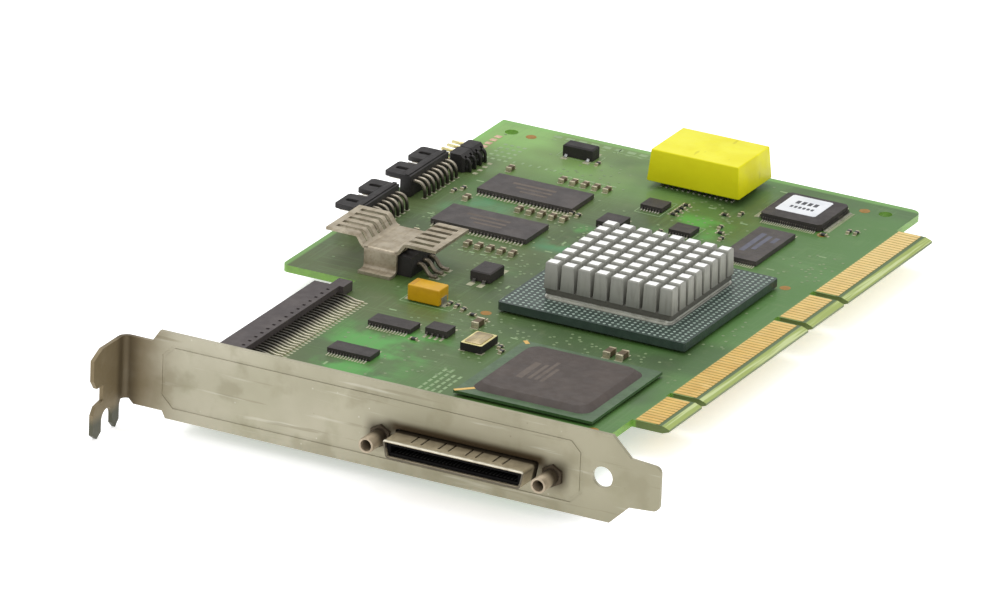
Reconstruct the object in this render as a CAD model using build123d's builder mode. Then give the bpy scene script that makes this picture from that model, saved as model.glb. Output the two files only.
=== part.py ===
"""Disk array controller card: a full-height 64-bit expansion card with its sheet-metal bracket.

Millimetres. X runs from the card's free long edge towards its contact edge, Y runs away from the
outer face of the bracket, and Z points up from the component side of the board, whose top is Z = 0.
"""
import os
from math import cos, radians, sin, tan

from build123d import *

os.makedirs("parts", exist_ok=True)

# Board. Parts that stand on it are placed by shares of its length and of its shoulder height.
card_length = 174.63          # bracket's outer face to the board's far edge
shoulder_height = 98.43       # free long edge to the shoulder beside the contacts
tongue_depth = 8.25           # shoulder to the contact edge
board_thickness = 1.57
bracket_gap = 0.5             # board's front edge behind the bracket
relief_length = 76.4          # bracket's outer face to the end of the cut-out for the inner connector
relief_depth = 17.2           # free long edge to the wall of the cut-out
far_corner_radius = 2.6
near_corner_radius = 1.4
tooling_hole_diameter = 2.9
tooling_hole_inset = 5.7      # hole centre to the far edge
tooling_hole_left = 4.9       # hole centres from the free long edge
tooling_hole_right = 92.5

# Contact edge
contact_pitch = 1.27
first_contact = 41.6          # first contact's centre from the bracket's outer face
contact_groups = ((0, 11), (13, 36), (51, 11), (64, 31))  # first pitch and count of each group
contact_width = 1.0
contact_length = 5.1
contact_inset = 0.7           # shoulder line to the inner end of the contacts
contact_thickness = 0.08
tongue_margin = 0.85          # end contact's centre to the end of the tongue, less half a contact
key_width = 1.93
key_depth = 8.0
bevel_angle = 20
bevel_length = 1.5

# Bracket
sheet = 0.86
bracket_length = 120.02       # tab's outer face to the tip of the tongue
bracket_width = 18.42
bracket_drop = 4.1            # board's top to the bracket's lower edge
bracket_tab_place = 4.9       # tab's outer face from the free long edge
bend_radius = 1.2
tab_depth = 12.3
neck_top_step = 2.6           # narrowing near the bend, top and bottom
neck_bottom_step = 1.5
neck_end = 9.6                # tab's outer face to the full width
foot_start = 109.3            # tab's outer face to the start of the taper to the tongue
foot_taper = 4.2
foot_width = 10.19
foot_tip_draft = 0.5
foot_corner = 1.4
slot_width = 4.42
slot_centre = 6.7             # bracket's outer face to the middle of the screw slot
slot_reach = 9.0              # slot's round end below the bracket's middle line, to its centre
prong_length = 12.1           # fork's ends below the bracket's middle line
tab_waist = 8.4               # depth left between the tab's plate and its fork
tab_corner_run = 3.4          # outer corner, along the tab and down it
tab_corner_drop = 1.6
tab_notch_top = 1.3           # notch edges from the bracket's middle line, downwards
tab_notch_bottom = 4.6
tab_notch_top_slope = 1.4     # notch's upper edge, from the tab's outer edge to its flat
tab_notch_top_rise = 1.9
tab_notch_bottom_run = 1.1
tab_notch_bottom_drops = (0.5, 2.0)
prong_tip_drops = (1.2, 1.0, 1.4)  # corners above the prongs' tips: outer edge, and slot's two sides
prong_bend_gap = 0.5          # inner prong's edge before the bend
neck_corner = 1.0             # small corner cut beside the bend
vent_hole_diameter = 4.4
vent_hole_place = 107.5       # tab's outer face to the hole's centre
panel_groove = 0.7
panel_groove_depth = 0.15
panel_start = 9.5             # pressed frame line, from the tab's outer face
panel_end = 103.2
panel_margin = 2.4            # frame line to the bracket's long edges
panel_corner = 2.5

# Outer connector
port_place = 0.8392 * shoulder_height  # middle of the port from the free long edge
port_height = 3.1             # middle of the port above the board
port_reach = 5.8              # shell's mouth in front of the bracket
shell_width = 31.3
shell_height = 3.7
shell_skew = 0.8              # each end leans in by this much at the bottom
shell_wall = 0.4
shell_corner = 0.6
port_clearance = 0.3
slit_pair_pitch = 6.0
slit_spacing = 2.2
slit_width = 0.4
slit_length = 3.6
mouth_height = 1.5
mouth_depth = 4.6
insert_setback = 0.5          # insert's face inside the shell's mouth
port_housing_width = 42.4
port_housing_depth = 10.5
port_housing_height = 6.2
port_housing_chamfer = 1.6
seat = 0.05                   # solder thickness under parts that lie on the board
jack_spacing = 38.0
jack_diameter = 3.3
jack_thread_diameter = 2.2
jack_reach = 6.4
jack_thread_depth = 5.0
jack_collar_diameter = 4.8
jack_collar_length = 0.7

# Inner connector
inner_pitch = 1.27
inner_positions = 34
inner_before_relief = 30.9    # middle of the connector before the end of the cut-out
inner_top = 2.1
inner_depth = 4.5             # mouth to the wall of the cut-out
inner_bottom = 4.0            # body's underside below the board's top
inner_length = 43.8
inner_ledge = 0.9             # rear ledge over the board
inner_ear_length = 3.9
inner_ear_depth = 3.1
inner_ear_overhang = 1.0      # ears' reach behind the rear ledge
inner_clearance = 0.3
inner_mouth_width = 40.4
inner_mouth_height = 4.0
inner_mouth_depth = 3.4
inner_mouth_skew = 1.0
inner_hole = 0.7
inner_hole_depth = 0.5
inner_hole_inset = 1.1        # holes' row before the rear face
inner_lead_width = 0.42
inner_lead_thickness = 0.25
inner_lead_reach = 6.6        # rear face to the end of the feet
inner_lead_foot = 1.6
inner_lead_exit = 1.3

# Large processor package and its heat sink
processor_size = 42.5
processor_x = 0.7178 * shoulder_height
processor_y = 0.5620 * card_length
processor_substrate_thickness = 1.75
substrate_corner = 0.4
processor_ball_height = 0.55
ball_pitch = 6.35             # every fifth ball of a 1.27 grid, on its outer ring only
ball_width = 0.6
processor_balls = 7
lid_flange_size = 28.2
lid_flange_thickness = 0.25
lid_size = 26.8
lid_height = 0.8
lid_corner = 2.0
sink_width = 28.8
sink_length = 27.8
sink_base = 1.25
sink_height = 6.9
sink_pins = 8
sink_slot_x = 1.0
sink_slot_y = 1.15
sink_corner = 0.5

# Moulded interface chip
interface_size = 31.0
interface_x = 0.7924 * shoulder_height
interface_y = 0.2766 * card_length
interface_substrate_thickness = 0.6
interface_ball_height = 0.5
interface_balls = 5
cap_size = 26.4
cap_height = 1.15
cap_draft = 0.35
cap_corner = 2.0

# Memory chips
memory_length = 22.22
memory_width = 10.16
memory_height = 1.0
memory_standoff = 0.12
memory_span = 11.8
memory_x = 0.2657 * shoulder_height
memory_first_y = 0.6763 * card_length
memory_spacing = 0.1180 * card_length
memory_lead_pitch = 0.8
memory_lead_width = 0.34
memory_leads_a_side = 27
fine_lead_thickness = 0.16

# Flash chip
flash_length = 18.4
flash_width = 8.2
flash_span = 20.0
flash_x = 0.7996 * shoulder_height
flash_y = 0.7839 * card_length
flash_lead_pitch = 0.5
flash_lead_width = 0.22
flash_leads_a_side = 16

# Square logic chip with a paper label
logic_size = 14.0
logic_height = 1.4
logic_span = 16.0
logic_corner = 0.8
logic_x = 0.7975 * shoulder_height
logic_y = 0.9116 * card_length
logic_lead_pitch = 0.8
logic_lead_width = 0.34
logic_leads_a_side = 16
label_size = 9.3
label_offset_x = -0.7
label_offset_y = 1.2
label_thickness = 0.08
label_corner = 0.4

# Clock chip with its snap-on battery cap
clock_x = 0.5496 * shoulder_height
clock_y = 0.9368 * card_length
clock_length = 18.1
clock_width = 8.6
clock_height = 2.5
clock_span = 12.0
clock_lead_pitch = 1.27
clock_lead_width = 0.42
clock_leads_a_side = 14
clock_lead_thickness = 0.25
cap_bottom_length = 21.6
cap_top_length = 20.3
cap_bottom_width = 15.6
cap_top_width = 14.8
cap_underside = 1.5           # cap's rim above the board
battery_cap_height = 7.1
battery_cap_edge = 0.5
battery_cap_fit = 0.2

# Bus transceivers and small chips
transceiver_length = 9.7
transceiver_width = 4.4
transceiver_height = 0.95
transceiver_span = 6.4
transceiver_x = 0.3596 * shoulder_height
transceiver_first_y = 0.2371 * card_length
transceiver_spacing = 0.0991 * card_length
transceiver_lead_pitch = 0.65
transceiver_lead_width = 0.26
transceiver_leads_a_side = 14
small_chip_height = 1.4
small_chip_lead = 1.0         # reach of the leads beyond the body
small_chip_leads_a_side = 4
small_chip_lead_pitch = 1.27
small_chip_lead_width = 0.42
small_chip_lead_thickness = 0.2
amplifier_x, amplifier_y = 0.4582 * shoulder_height, 0.3453 * card_length
amplifier_length, amplifier_width = 4.9, 3.9
driver_x, driver_y = 0.4826 * shoulder_height, 0.7582 * card_length
driver_length, driver_width = 5.3, 5.3
gate_places = ((0.5120 * shoulder_height, 0.8378 * card_length),
               (0.6268 * shoulder_height, 0.7834 * card_length))
gate_length, gate_width, gate_height = 5.0, 4.4, 0.95
gate_lead_pitch, gate_lead_width, gate_leads_a_side = 0.65, 0.26, 7

# Oscillator
oscillator_x, oscillator_y = 0.5583 * shoulder_height, 0.3338 * card_length
oscillator_width, oscillator_length = 4.8, 7.2
oscillator_height = 1.6
oscillator_lid_inset = 0.55
oscillator_lid_thickness = 0.25
oscillator_lid_corner = 0.4

# Tantalum capacitor
tantalum_x, tantalum_y = 0.3525 * shoulder_height, 0.4272 * card_length
tantalum_length, tantalum_width, tantalum_height = 7.3, 4.3, 3.5
tantalum_terminal_width = 2.4
tantalum_terminal_thickness = 0.15
tantalum_terminal_length = 1.3
tantalum_edge = 0.35

# Regulator and its folded heat spreader
regulator_width = 10.2        # across the leads, along Y
regulator_length = 9.2
regulator_height = 4.15
regulator_end_lead = 3.3      # spreader's bridge to the regulator's lead end
regulator_rear_slope = 0.4    # moulding's sloping faces, along X
regulator_front_slopes = (0.5, 0.3)
regulator_step = 2.0          # moulding's underside behind the metal tab's end
regulator_tab_reach = 1.2
regulator_tab_thickness = 1.2
regulator_tab_margin = 0.3
regulator_lead_width = 0.9
regulator_lead_pitch = 2.54
regulator_lead_thickness = 0.5
regulator_lead_reach = 4.4
regulator_lead_foot = 1.4
regulator_lead_exit = 2.2
regulator_leads = 3
spreader_x, spreader_y = 19.2, 0.5162 * card_length
spreader_sheet = 0.65
spreader_fit = 0.25           # clearance over the regulator, and beside it at its near face
spreader_length = 25.4        # over the tips of the wings
spreader_width = 14.5         # wings, and the outer faces of the legs
spreader_bridge_length = 7.5
spreader_wing_rise = 2.35
spreader_ramp = 1.6
spreader_bend = 1.2
spreader_foot = 2.6
spreader_slots = 5
spreader_slot_pitch = 2.55
spreader_slot_width = 1.15
spreader_slot_end = 0.3       # slots' inner ends outside the bridge
spreader_rim = 1.5            # wing's outer margin beyond the slots

# Headers on the free long edge, each with two flags over its pins
header_positions = 8
header_pitch = 2.0
header_end = 1.5              # end pin's centre to the end of the housing
header_first_y = 0.6299 * card_length  # middles of the two headers
header_spacing = 0.126 * card_length
header_back = 4.7             # housing's rear face from the board's edge
header_back_wall = 2.5
header_overhang = 1.65        # flags' reach over the board's edge
header_height = 4.7
header_flag = 1.0
header_flag_round = 0.8       # flags' outer corners
header_gap_width = 3.2
header_window_width = 1.2
header_window_length = 2.6
header_rib_width = 0.9        # low rib along the top, before the rear face
header_rib_height = 0.3
header_rib_inset = 0.5
header_pin = 0.64
pin_clearance = 0.04
header_pin_height = 3.3
header_pin_row = 7.4          # solder tails' row from the board's edge
header_pin_tip = 0.6          # pin ends behind the flags' tips

# Two small pin headers
strip_first_y = 0.8269 * card_length
strip_spacing = 4.7
strip_pitch = 2.2
strip_width = 4.5
strip_back = 7.5
strip_depth = 3.65
strip_height = 3.8
strip_corner = 0.4
strip_brow = 0.9              # slope at the top of the rear face
strip_pin = 0.64
strip_pin_low = 1.0
strip_pin_high = 3.0
strip_pin_start = 0.35        # pin ends inside the board's edge
strip_pin_tail = 0.8          # tails behind the body

# Two-lead block, power switch chip, and small square parts
block_x, block_y = 0.2418 * shoulder_height, 0.9397 * card_length
block_length, block_width, block_height = 7.0, 3.2, 2.6
block_edge = 0.3
block_lead_width = 0.7
block_lead_inset = 0.9
block_lead_reach, block_lead_foot = 1.1, 0.5
block_lead_exit, block_lead_thickness = 0.5, 0.2
switch_x, switch_y = 0.3952 * shoulder_height, 0.5303 * card_length
switch_width, switch_length, switch_height = 4.6, 6.2, 2.1
switch_lead_width, switch_lead_pitch, switch_lead_reach = 0.9, 2.3, 1.6
switch_lead_exit, switch_lead_thickness, switch_lead_foot = 0.6, 0.3, 0.7
switch_edge = 0.25
switch_tab_reach, switch_tab_margin, switch_tab_thickness = 0.9, 0.5, 0.5
chip_length, chip_width, chip_height = 2.2, 1.25, 0.8
chip_end = 0.5
row_places_y = (0.6093 * card_length, 0.7410 * card_length, 0.8544 * card_length)
row_start_x, row_pitch, row_count = 0.2763 * shoulder_height, 2.6, 5
row_outlier_x = 0.1514 * shoulder_height
large_chip_length, large_chip_width, large_chip_height = 3.3, 1.6, 1.2
large_chip_y = 0.3917 * card_length
large_chip_places_x = (0.8056 * shoulder_height, 0.8351 * shoulder_height, 0.5039 * shoulder_height)

# Places worked out from the sizes above
board_front = sheet + bracket_gap
contact_edge = shoulder_height + tongue_depth
contact_ends = [(first_contact + a * contact_pitch, first_contact + (a + n - 1) * contact_pitch)
                for a, n in contact_groups]
tongue_start = contact_ends[0][0] - tongue_margin
tongue_end = contact_ends[-1][1] + tongue_margin
key_places = [(before[1] + after[0]) / 2 for before, after in zip(contact_ends, contact_ends[1:])]
contact_inner = shoulder_height + contact_inset
bracket_low = -bracket_drop
bracket_high = bracket_low + bracket_width
bracket_middle = (bracket_low + bracket_high) / 2
bracket_tip = bracket_tab_place + bracket_length
shell_low = port_height - shell_height / 2
processor_low = processor_ball_height
processor_high = processor_low + processor_substrate_thickness
lid_top = processor_high + lid_height
clock_top = seat + clock_height
inner_rear = relief_depth + inner_ledge
inner_place = relief_length - inner_before_relief
inner_mouth_x = relief_depth - inner_clearance - inner_depth


def spread(count, pitch, middle=0.0):
    """Places of a row of equal steps about its middle."""
    return [middle + (i - (count - 1) / 2) * pitch for i in range(count)]


def lead_row(count, pitch, width, profile, middle=(0, 0), turn=0):
    """Faces of a row of leads: the profile's first value points away from the body."""
    planes = [Plane.YZ.offset(x - width / 2) for x in spread(count, pitch)]
    with BuildSketch(*planes) as row:
        with BuildLine():
            Polyline(*profile, close=True)
        make_face()
    return row.sketch.moved(Location((middle[0], middle[1], 0), (0, 0, turn)))


def ball_ring(count, x, y):
    """Places of the modelled balls round the edge of a square grid."""
    steps = spread(count, ball_pitch)
    ends = (steps[0], steps[-1])
    return [(x + across, y + along) for across in steps for along in steps
            if across in ends or along in ends]


def ramp(body_half, span_half, exit_height, thickness):
    """Section of a fine lead that tapers straight from its body to its pad."""
    return ((body_half, exit_height - thickness), (body_half, exit_height + thickness), (span_half, 0))


def gull(body_half, span_half, exit_height, thickness, foot):
    """Section of a wider lead: out of the body, down, and along its pad."""
    knee = span_half - foot
    return ((body_half, exit_height), (body_half, exit_height + thickness),
            (knee, exit_height + thickness), (span_half, thickness), (span_half, 0),
            (knee - thickness, exit_height))


def d_outline(width, height, skew, corner, grow=0.0):
    """Port section about its middle: wider at the top, with round corners, grown all round."""
    top = width / 2 + grow
    low = width / 2 - skew + grow
    half = height / 2 + grow
    with BuildSketch() as outline:
        with BuildLine():
            Polyline((-top, half), (top, half), (low, -half), (-low, -half), close=True)
        make_face()
        fillet(outline.vertices(), corner)
    return outline.sketch


def at_port(outline, y):
    """The port's section laid in the plane of the bracket at the given depth, facing out."""
    return outline.moved(Location(Plane((port_place, y, port_height), x_dir=(1, 0, 0), z_dir=(0, -1, 0))))


# The board: outline, keyed contact tongue, bevel and tooling holes
with BuildPart() as circuit_board:
    with BuildSketch():
        with BuildLine():
            Polyline(
                (relief_depth, board_front), (shoulder_height, board_front),
                (shoulder_height, tongue_start), (contact_edge, tongue_start),
                (contact_edge, tongue_end), (shoulder_height, tongue_end),
                (shoulder_height, card_length), (0, card_length),
                (0, relief_length), (relief_depth, relief_length), close=True)
        make_face()
        with Locations(*[(contact_edge - key_depth / 2, y) for y in key_places]):
            Rectangle(key_depth, key_width, mode=Mode.SUBTRACT)
        with Locations((tooling_hole_left, card_length - tooling_hole_inset),
                       (tooling_hole_right, card_length - tooling_hole_inset)):
            Circle(tooling_hole_diameter / 2, mode=Mode.SUBTRACT)
    extrude(amount=-board_thickness)
    fillet(circuit_board.edges().filter_by(Axis.Z).sort_by_distance(
        (shoulder_height, card_length, -board_thickness / 2))[0], far_corner_radius)
    fillet(circuit_board.edges().filter_by(Axis.Z).sort_by_distance(
        (0, relief_length, -board_thickness / 2))[0], near_corner_radius)
    bevel_depth = bevel_length * tan(radians(bevel_angle))
    with BuildSketch(Plane.XZ.offset(-tongue_end - 1)):
        for face, side in ((0, -1), (-board_thickness, 1)):
            with BuildLine():
                Polyline((contact_edge - bevel_length, face), (contact_edge + 1, face),
                         (contact_edge + 1, face + side * bevel_depth * (1 + 1 / bevel_length)),
                         close=True)
            make_face()
    extrude(amount=tongue_end - tongue_start + 2, mode=Mode.SUBTRACT)
circuit_board.part.label = "circuit_board"
export_step(circuit_board.part, "parts/circuit_board.step")

# Gold contacts on both faces of the tongue
contact_places = [(contact_inner + contact_length / 2, first_contact + (a + i) * contact_pitch)
                  for a, n in contact_groups for i in range(n)]
with BuildPart() as edge_contacts_top:
    with BuildSketch():
        with Locations(*contact_places):
            Rectangle(contact_length, contact_width)
    extrude(amount=contact_thickness)
edge_contacts_top.part.label = "edge_contacts_top"
export_step(edge_contacts_top.part, "parts/edge_contacts_top.step")

with BuildPart() as edge_contacts_bottom:
    with BuildSketch(Plane.XY.offset(-board_thickness)):
        with Locations(*contact_places):
            Rectangle(contact_length, contact_width)
    extrude(amount=-contact_thickness)
edge_contacts_bottom.part.label = "edge_contacts_bottom"
export_step(edge_contacts_bottom.part, "parts/edge_contacts_bottom.step")

# The bracket, folded from one sheet: face, bend, and screw tab with its forked slot
bend_x = bracket_tab_place + sheet + bend_radius
bend_y = -bend_radius
neck_high = bracket_high - neck_top_step
neck_low = bracket_low + neck_bottom_step
bend_low = neck_low + neck_corner
foot_high = bracket_middle + foot_width / 2
foot_low = bracket_middle - foot_width / 2
foot_x = bracket_tab_place + foot_start
neck_x = bracket_tab_place + neck_end
prong_low = bracket_middle - prong_length
outer_prong = -(tab_depth + slot_centre + slot_width / 2) / 2
inner_prong_edge = bend_y - prong_bend_gap
with BuildPart() as mounting_bracket:
    with BuildSketch(Plane.XZ.offset(-sheet)) as face:
        with BuildLine():
            Polyline(
                (bend_x, bend_low), (bend_x, neck_high), (neck_x - neck_top_step, neck_high),
                (neck_x - neck_top_step / 3, bracket_high), (foot_x, bracket_high),
                (foot_x + foot_taper, foot_high), (bracket_tip, foot_high - foot_tip_draft),
                (bracket_tip, foot_low + foot_tip_draft), (foot_x + foot_taper, foot_low),
                (foot_x, bracket_low), (neck_x + neck_bottom_step / 2, bracket_low),
                (neck_x, neck_low), (bend_x + neck_corner, neck_low), close=True)
        make_face()
        fillet(face.vertices().sort_by(Axis.X)[-2:], foot_corner)
        with Locations((bracket_tab_place + vent_hole_place, bracket_middle)):
            Circle(vent_hole_diameter / 2, mode=Mode.SUBTRACT)
        with Locations(*[(port_place + side * jack_spacing / 2, port_height) for side in (-1, 1)]):
            Circle(jack_diameter / 2 + port_clearance / 2, mode=Mode.SUBTRACT)
    extrude(amount=sheet)
    extrude(at_port(d_outline(shell_width, shell_height, shell_skew, shell_corner, port_clearance), 0),
            amount=-sheet, mode=Mode.SUBTRACT)
    with BuildSketch(Plane.XY.offset(bend_low)):
        with BuildLine():
            Line((bend_x, 0), (bend_x, sheet))
            RadiusArc((bend_x, sheet), (bracket_tab_place, bend_y), -(bend_radius + sheet))
            Line((bracket_tab_place, bend_y), (bracket_tab_place + sheet, bend_y))
            RadiusArc((bracket_tab_place + sheet, bend_y), (bend_x, 0), bend_radius)
        make_face()
    extrude(amount=neck_high - bend_low)
    with BuildSketch(Plane.YZ.offset(bracket_tab_place)) as tab:
        with BuildLine():
            Polyline(
                (bend_y, neck_high), (-tab_depth + tab_corner_run, neck_high),
                (-tab_depth, neck_high - tab_corner_drop),
                (-tab_depth, bracket_middle - tab_notch_top + tab_notch_top_rise),
                (-tab_depth + tab_notch_top_slope, bracket_middle - tab_notch_top),
                (-tab_waist, bracket_middle - tab_notch_top),
                (-tab_waist, bracket_middle - tab_notch_bottom),
                (-tab_depth + tab_notch_bottom_run,
                 bracket_middle - tab_notch_bottom - tab_notch_bottom_drops[0]),
                (-tab_depth, bracket_middle - tab_notch_bottom - tab_notch_bottom_drops[1]),
                (-tab_depth, prong_low + prong_tip_drops[0]), (outer_prong, prong_low),
                (-slot_centre - slot_width / 2, prong_low + prong_tip_drops[1]),
                (-slot_centre - slot_width / 2, bracket_middle - slot_reach),
                (-slot_centre + slot_width / 2, bracket_middle - slot_reach),
                (-slot_centre + slot_width / 2, prong_low + prong_tip_drops[2]),
                ((-slot_centre + slot_width / 2 + inner_prong_edge) / 2, prong_low),
                (inner_prong_edge, prong_low + prong_tip_drops[2]), (inner_prong_edge, neck_low),
                (bend_y, bend_low), close=True)
        make_face()
        with Locations((-slot_centre, bracket_middle - slot_reach)):
            Circle(slot_width / 2, mode=Mode.SUBTRACT)
    extrude(amount=sheet)
    with BuildSketch(Plane.XZ) as panel:
        with Locations((bracket_tab_place + (panel_start + panel_end) / 2, bracket_middle)):
            Rectangle(panel_end - panel_start, bracket_width - 2 * panel_margin)
        chamfer(panel.vertices(), panel_corner)
        offset(amount=-panel_groove, mode=Mode.SUBTRACT)
    extrude(amount=-panel_groove_depth, mode=Mode.SUBTRACT)
mounting_bracket.part.label = "mounting_bracket"
export_step(mounting_bracket.part, "parts/mounting_bracket.step")

# Outer connector: housing behind the bracket, shell, insert and threaded jack posts
shell_rear = sheet + port_clearance
with BuildPart() as port_housing:
    with BuildSketch(Plane.XY.offset(seat)):
        with Locations((port_place, shell_rear + port_housing_depth / 2)):
            Rectangle(port_housing_width, port_housing_depth)
    extrude(amount=port_housing_height)
    chamfer(port_housing.edges().filter_by(Axis.X).sort_by(Axis.Z)[-2:].sort_by(Axis.Y)[-1],
            port_housing_chamfer)
    with BuildSketch(Plane.XZ.offset(-shell_rear)):
        with Locations(*[(port_place + side * jack_spacing / 2, port_height) for side in (-1, 1)]):
            Circle(jack_thread_diameter / 2 + seat)
    extrude(amount=-jack_thread_depth, mode=Mode.SUBTRACT)
port_housing.part.label = "port_housing"
export_step(port_housing.part, "parts/port_housing.step")

with BuildPart() as port_shell:
    extrude(at_port(d_outline(shell_width, shell_height, shell_skew, shell_corner), -port_reach),
            amount=-(port_reach + shell_rear))
    extrude(at_port(d_outline(shell_width - 2 * shell_wall, shell_height - 2 * shell_wall,
                              shell_skew, shell_corner / 2), -port_reach),
            amount=-(port_reach + shell_rear), mode=Mode.SUBTRACT)
    slit_places = [port_place + pair + side * slit_spacing / 2
                   for pair in spread(4, slit_pair_pitch) for side in (-1, 1)]
    with BuildSketch(Plane.XY.offset(port_height + shell_height / 2)):
        with Locations(*[(x, -port_reach / 2 + slit_width) for x in slit_places]):
            Rectangle(slit_width, slit_length)
    extrude(amount=-shell_wall, mode=Mode.SUBTRACT)
port_shell.part.label = "port_shell"
export_step(port_shell.part, "parts/port_shell.step")

with BuildPart() as port_insert:
    insert_face = -port_reach + insert_setback
    extrude(at_port(d_outline(shell_width - 2 * shell_wall - seat, shell_height - 2 * shell_wall - seat,
                              shell_skew, shell_corner / 2), insert_face),
            amount=insert_face - shell_rear)
    with BuildSketch(Plane.XZ.offset(-insert_face)):
        with Locations((port_place, port_height)):
            Rectangle(shell_width - 4 * shell_wall - 2 * shell_skew, mouth_height)
    extrude(amount=-mouth_depth, mode=Mode.SUBTRACT)
port_insert.part.label = "port_insert"
export_step(port_insert.part, "parts/port_insert.step")

with BuildPart() as jack_posts:
    with BuildSketch(Plane.XZ):
        with Locations(*[(port_place + side * jack_spacing / 2, port_height) for side in (-1, 1)]):
            Circle(jack_diameter / 2)
    extrude(amount=jack_reach)
    with BuildSketch(Plane.XZ):
        with Locations(*[(port_place + side * jack_spacing / 2, port_height) for side in (-1, 1)]):
            RegularPolygon(jack_collar_diameter / 2, 6)
    extrude(amount=jack_collar_length)
    with BuildSketch(Plane.XZ):
        with Locations(*[(port_place + side * jack_spacing / 2, port_height) for side in (-1, 1)]):
            Circle(jack_thread_diameter / 2)
    extrude(amount=-(shell_rear + jack_thread_depth - port_clearance))
    with BuildSketch(Plane.XZ.offset(jack_reach)):
        with Locations(*[(port_place + side * jack_spacing / 2, port_height) for side in (-1, 1)]):
            Circle(jack_thread_diameter / 2)
    extrude(amount=-jack_thread_depth, mode=Mode.SUBTRACT)
jack_posts.part.label = "jack_posts"
export_step(jack_posts.part, "parts/jack_posts.step")

# Inner connector: shrouded body sunk in the cut-out, ears on the board, and a row of long leads
inner_ends = (inner_place - inner_length / 2, inner_place + inner_length / 2)
inner_middle_z = (inner_top - inner_bottom) / 2
with BuildPart() as inner_connector_body:
    with BuildSketch(Plane.XZ.offset(-inner_ends[1])):
        with BuildLine():
            Polyline((inner_mouth_x, -inner_bottom), (inner_mouth_x, inner_top), (inner_rear, inner_top),
                     (inner_rear, seat), (relief_depth - inner_clearance, seat),
                     (relief_depth - inner_clearance, -inner_bottom), close=True)
        make_face()
    extrude(amount=inner_length)
    with BuildSketch(Plane.XY.offset(seat)):
        with Locations(*[(inner_rear + inner_ear_overhang - inner_ear_depth / 2, inner_place + side * (
                inner_length + inner_ear_length) / 2) for side in (-1, 1)]):
            Rectangle(inner_ear_depth, inner_ear_length)
    extrude(amount=inner_top - seat)
    with BuildSketch(Plane.YZ.offset(inner_mouth_x)):
        with BuildLine():
            Polyline(
                (inner_place - inner_mouth_width / 2, inner_middle_z + inner_mouth_height / 2),
                (inner_place + inner_mouth_width / 2, inner_middle_z + inner_mouth_height / 2),
                (inner_place + inner_mouth_width / 2 - inner_mouth_skew,
                 inner_middle_z - inner_mouth_height / 2),
                (inner_place - inner_mouth_width / 2 + inner_mouth_skew,
                 inner_middle_z - inner_mouth_height / 2), close=True)
        make_face()
    extrude(amount=inner_mouth_depth, mode=Mode.SUBTRACT)
    with BuildSketch(Plane.XY.offset(inner_top)):
        with Locations(*[(inner_rear - inner_hole_inset, y)
                         for y in spread(inner_positions // 2 - 1, 2 * inner_pitch, inner_place)]):
            Rectangle(inner_hole, inner_hole)
    extrude(amount=-inner_hole_depth, mode=Mode.SUBTRACT)
inner_connector_body.part.label = "inner_connector_body"
export_step(inner_connector_body.part, "parts/inner_connector_body.step")

inner_profile = gull(0, inner_lead_reach, inner_lead_exit, inner_lead_thickness, inner_lead_foot)
with BuildPart() as inner_connector_leads:
    extrude(lead_row(inner_positions, inner_pitch, inner_lead_width, inner_profile,
                     (inner_rear, inner_place), -90), amount=inner_lead_width)
inner_connector_leads.part.label = "inner_connector_leads"
export_step(inner_connector_leads.part, "parts/inner_connector_leads.step")

# Large processor package: balls, substrate, lid and pin-fin heat sink
with BuildPart() as processor_balls_ring:
    with BuildSketch():
        with Locations(*ball_ring(processor_balls, processor_x, processor_y)):
            Rectangle(ball_width, ball_width)
    extrude(amount=processor_ball_height)
processor_balls_ring.part.label = "processor_balls"
export_step(processor_balls_ring.part, "parts/processor_balls.step")

with BuildPart() as processor_substrate:
    with BuildSketch(Plane.XY.offset(processor_low)) as square:
        with Locations((processor_x, processor_y)):
            Rectangle(processor_size, processor_size)
        chamfer(square.vertices(), substrate_corner)
    extrude(amount=processor_substrate_thickness)
processor_substrate.part.label = "processor_substrate"
export_step(processor_substrate.part, "parts/processor_substrate.step")

with BuildPart() as processor_lid:
    with BuildSketch(Plane.XY.offset(processor_high)) as flange:
        with Locations((processor_x, processor_y)):
            Rectangle(lid_flange_size, lid_flange_size)
        chamfer(flange.vertices(), lid_corner)
    extrude(amount=lid_flange_thickness)
    with BuildSketch(Plane.XY.offset(processor_high + lid_flange_thickness)) as plate:
        with Locations((processor_x, processor_y)):
            Rectangle(lid_size, lid_size)
        chamfer(plate.vertices(), lid_corner)
    extrude(amount=lid_height - lid_flange_thickness)
processor_lid.part.label = "processor_lid"
export_step(processor_lid.part, "parts/processor_lid.step")

pin_pitch_x = (sink_width + sink_slot_x) / sink_pins
pin_pitch_y = (sink_length + sink_slot_y) / sink_pins
with BuildPart() as heat_sink:
    with BuildSketch(Plane.XY.offset(lid_top)) as base:
        with Locations((processor_x, processor_y)):
            Rectangle(sink_width, sink_length)
        fillet(base.vertices(), sink_corner)
    extrude(amount=sink_base)
    with BuildSketch(Plane.XY.offset(lid_top + sink_base)):
        with Locations((processor_x, processor_y)):
            with GridLocations(pin_pitch_x, pin_pitch_y, sink_pins, sink_pins):
                Rectangle(pin_pitch_x - sink_slot_x, pin_pitch_y - sink_slot_y)
    extrude(amount=sink_height - sink_base)
heat_sink.part.label = "heat_sink"
export_step(heat_sink.part, "parts/heat_sink.step")

# Moulded interface chip: balls, green substrate and dark cap with sloping sides
with BuildPart() as interface_balls_ring:
    with BuildSketch():
        with Locations(*ball_ring(interface_balls, interface_x, interface_y)):
            Rectangle(ball_width, ball_width)
    extrude(amount=interface_ball_height)
interface_balls_ring.part.label = "interface_balls"
export_step(interface_balls_ring.part, "parts/interface_balls.step")

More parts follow.
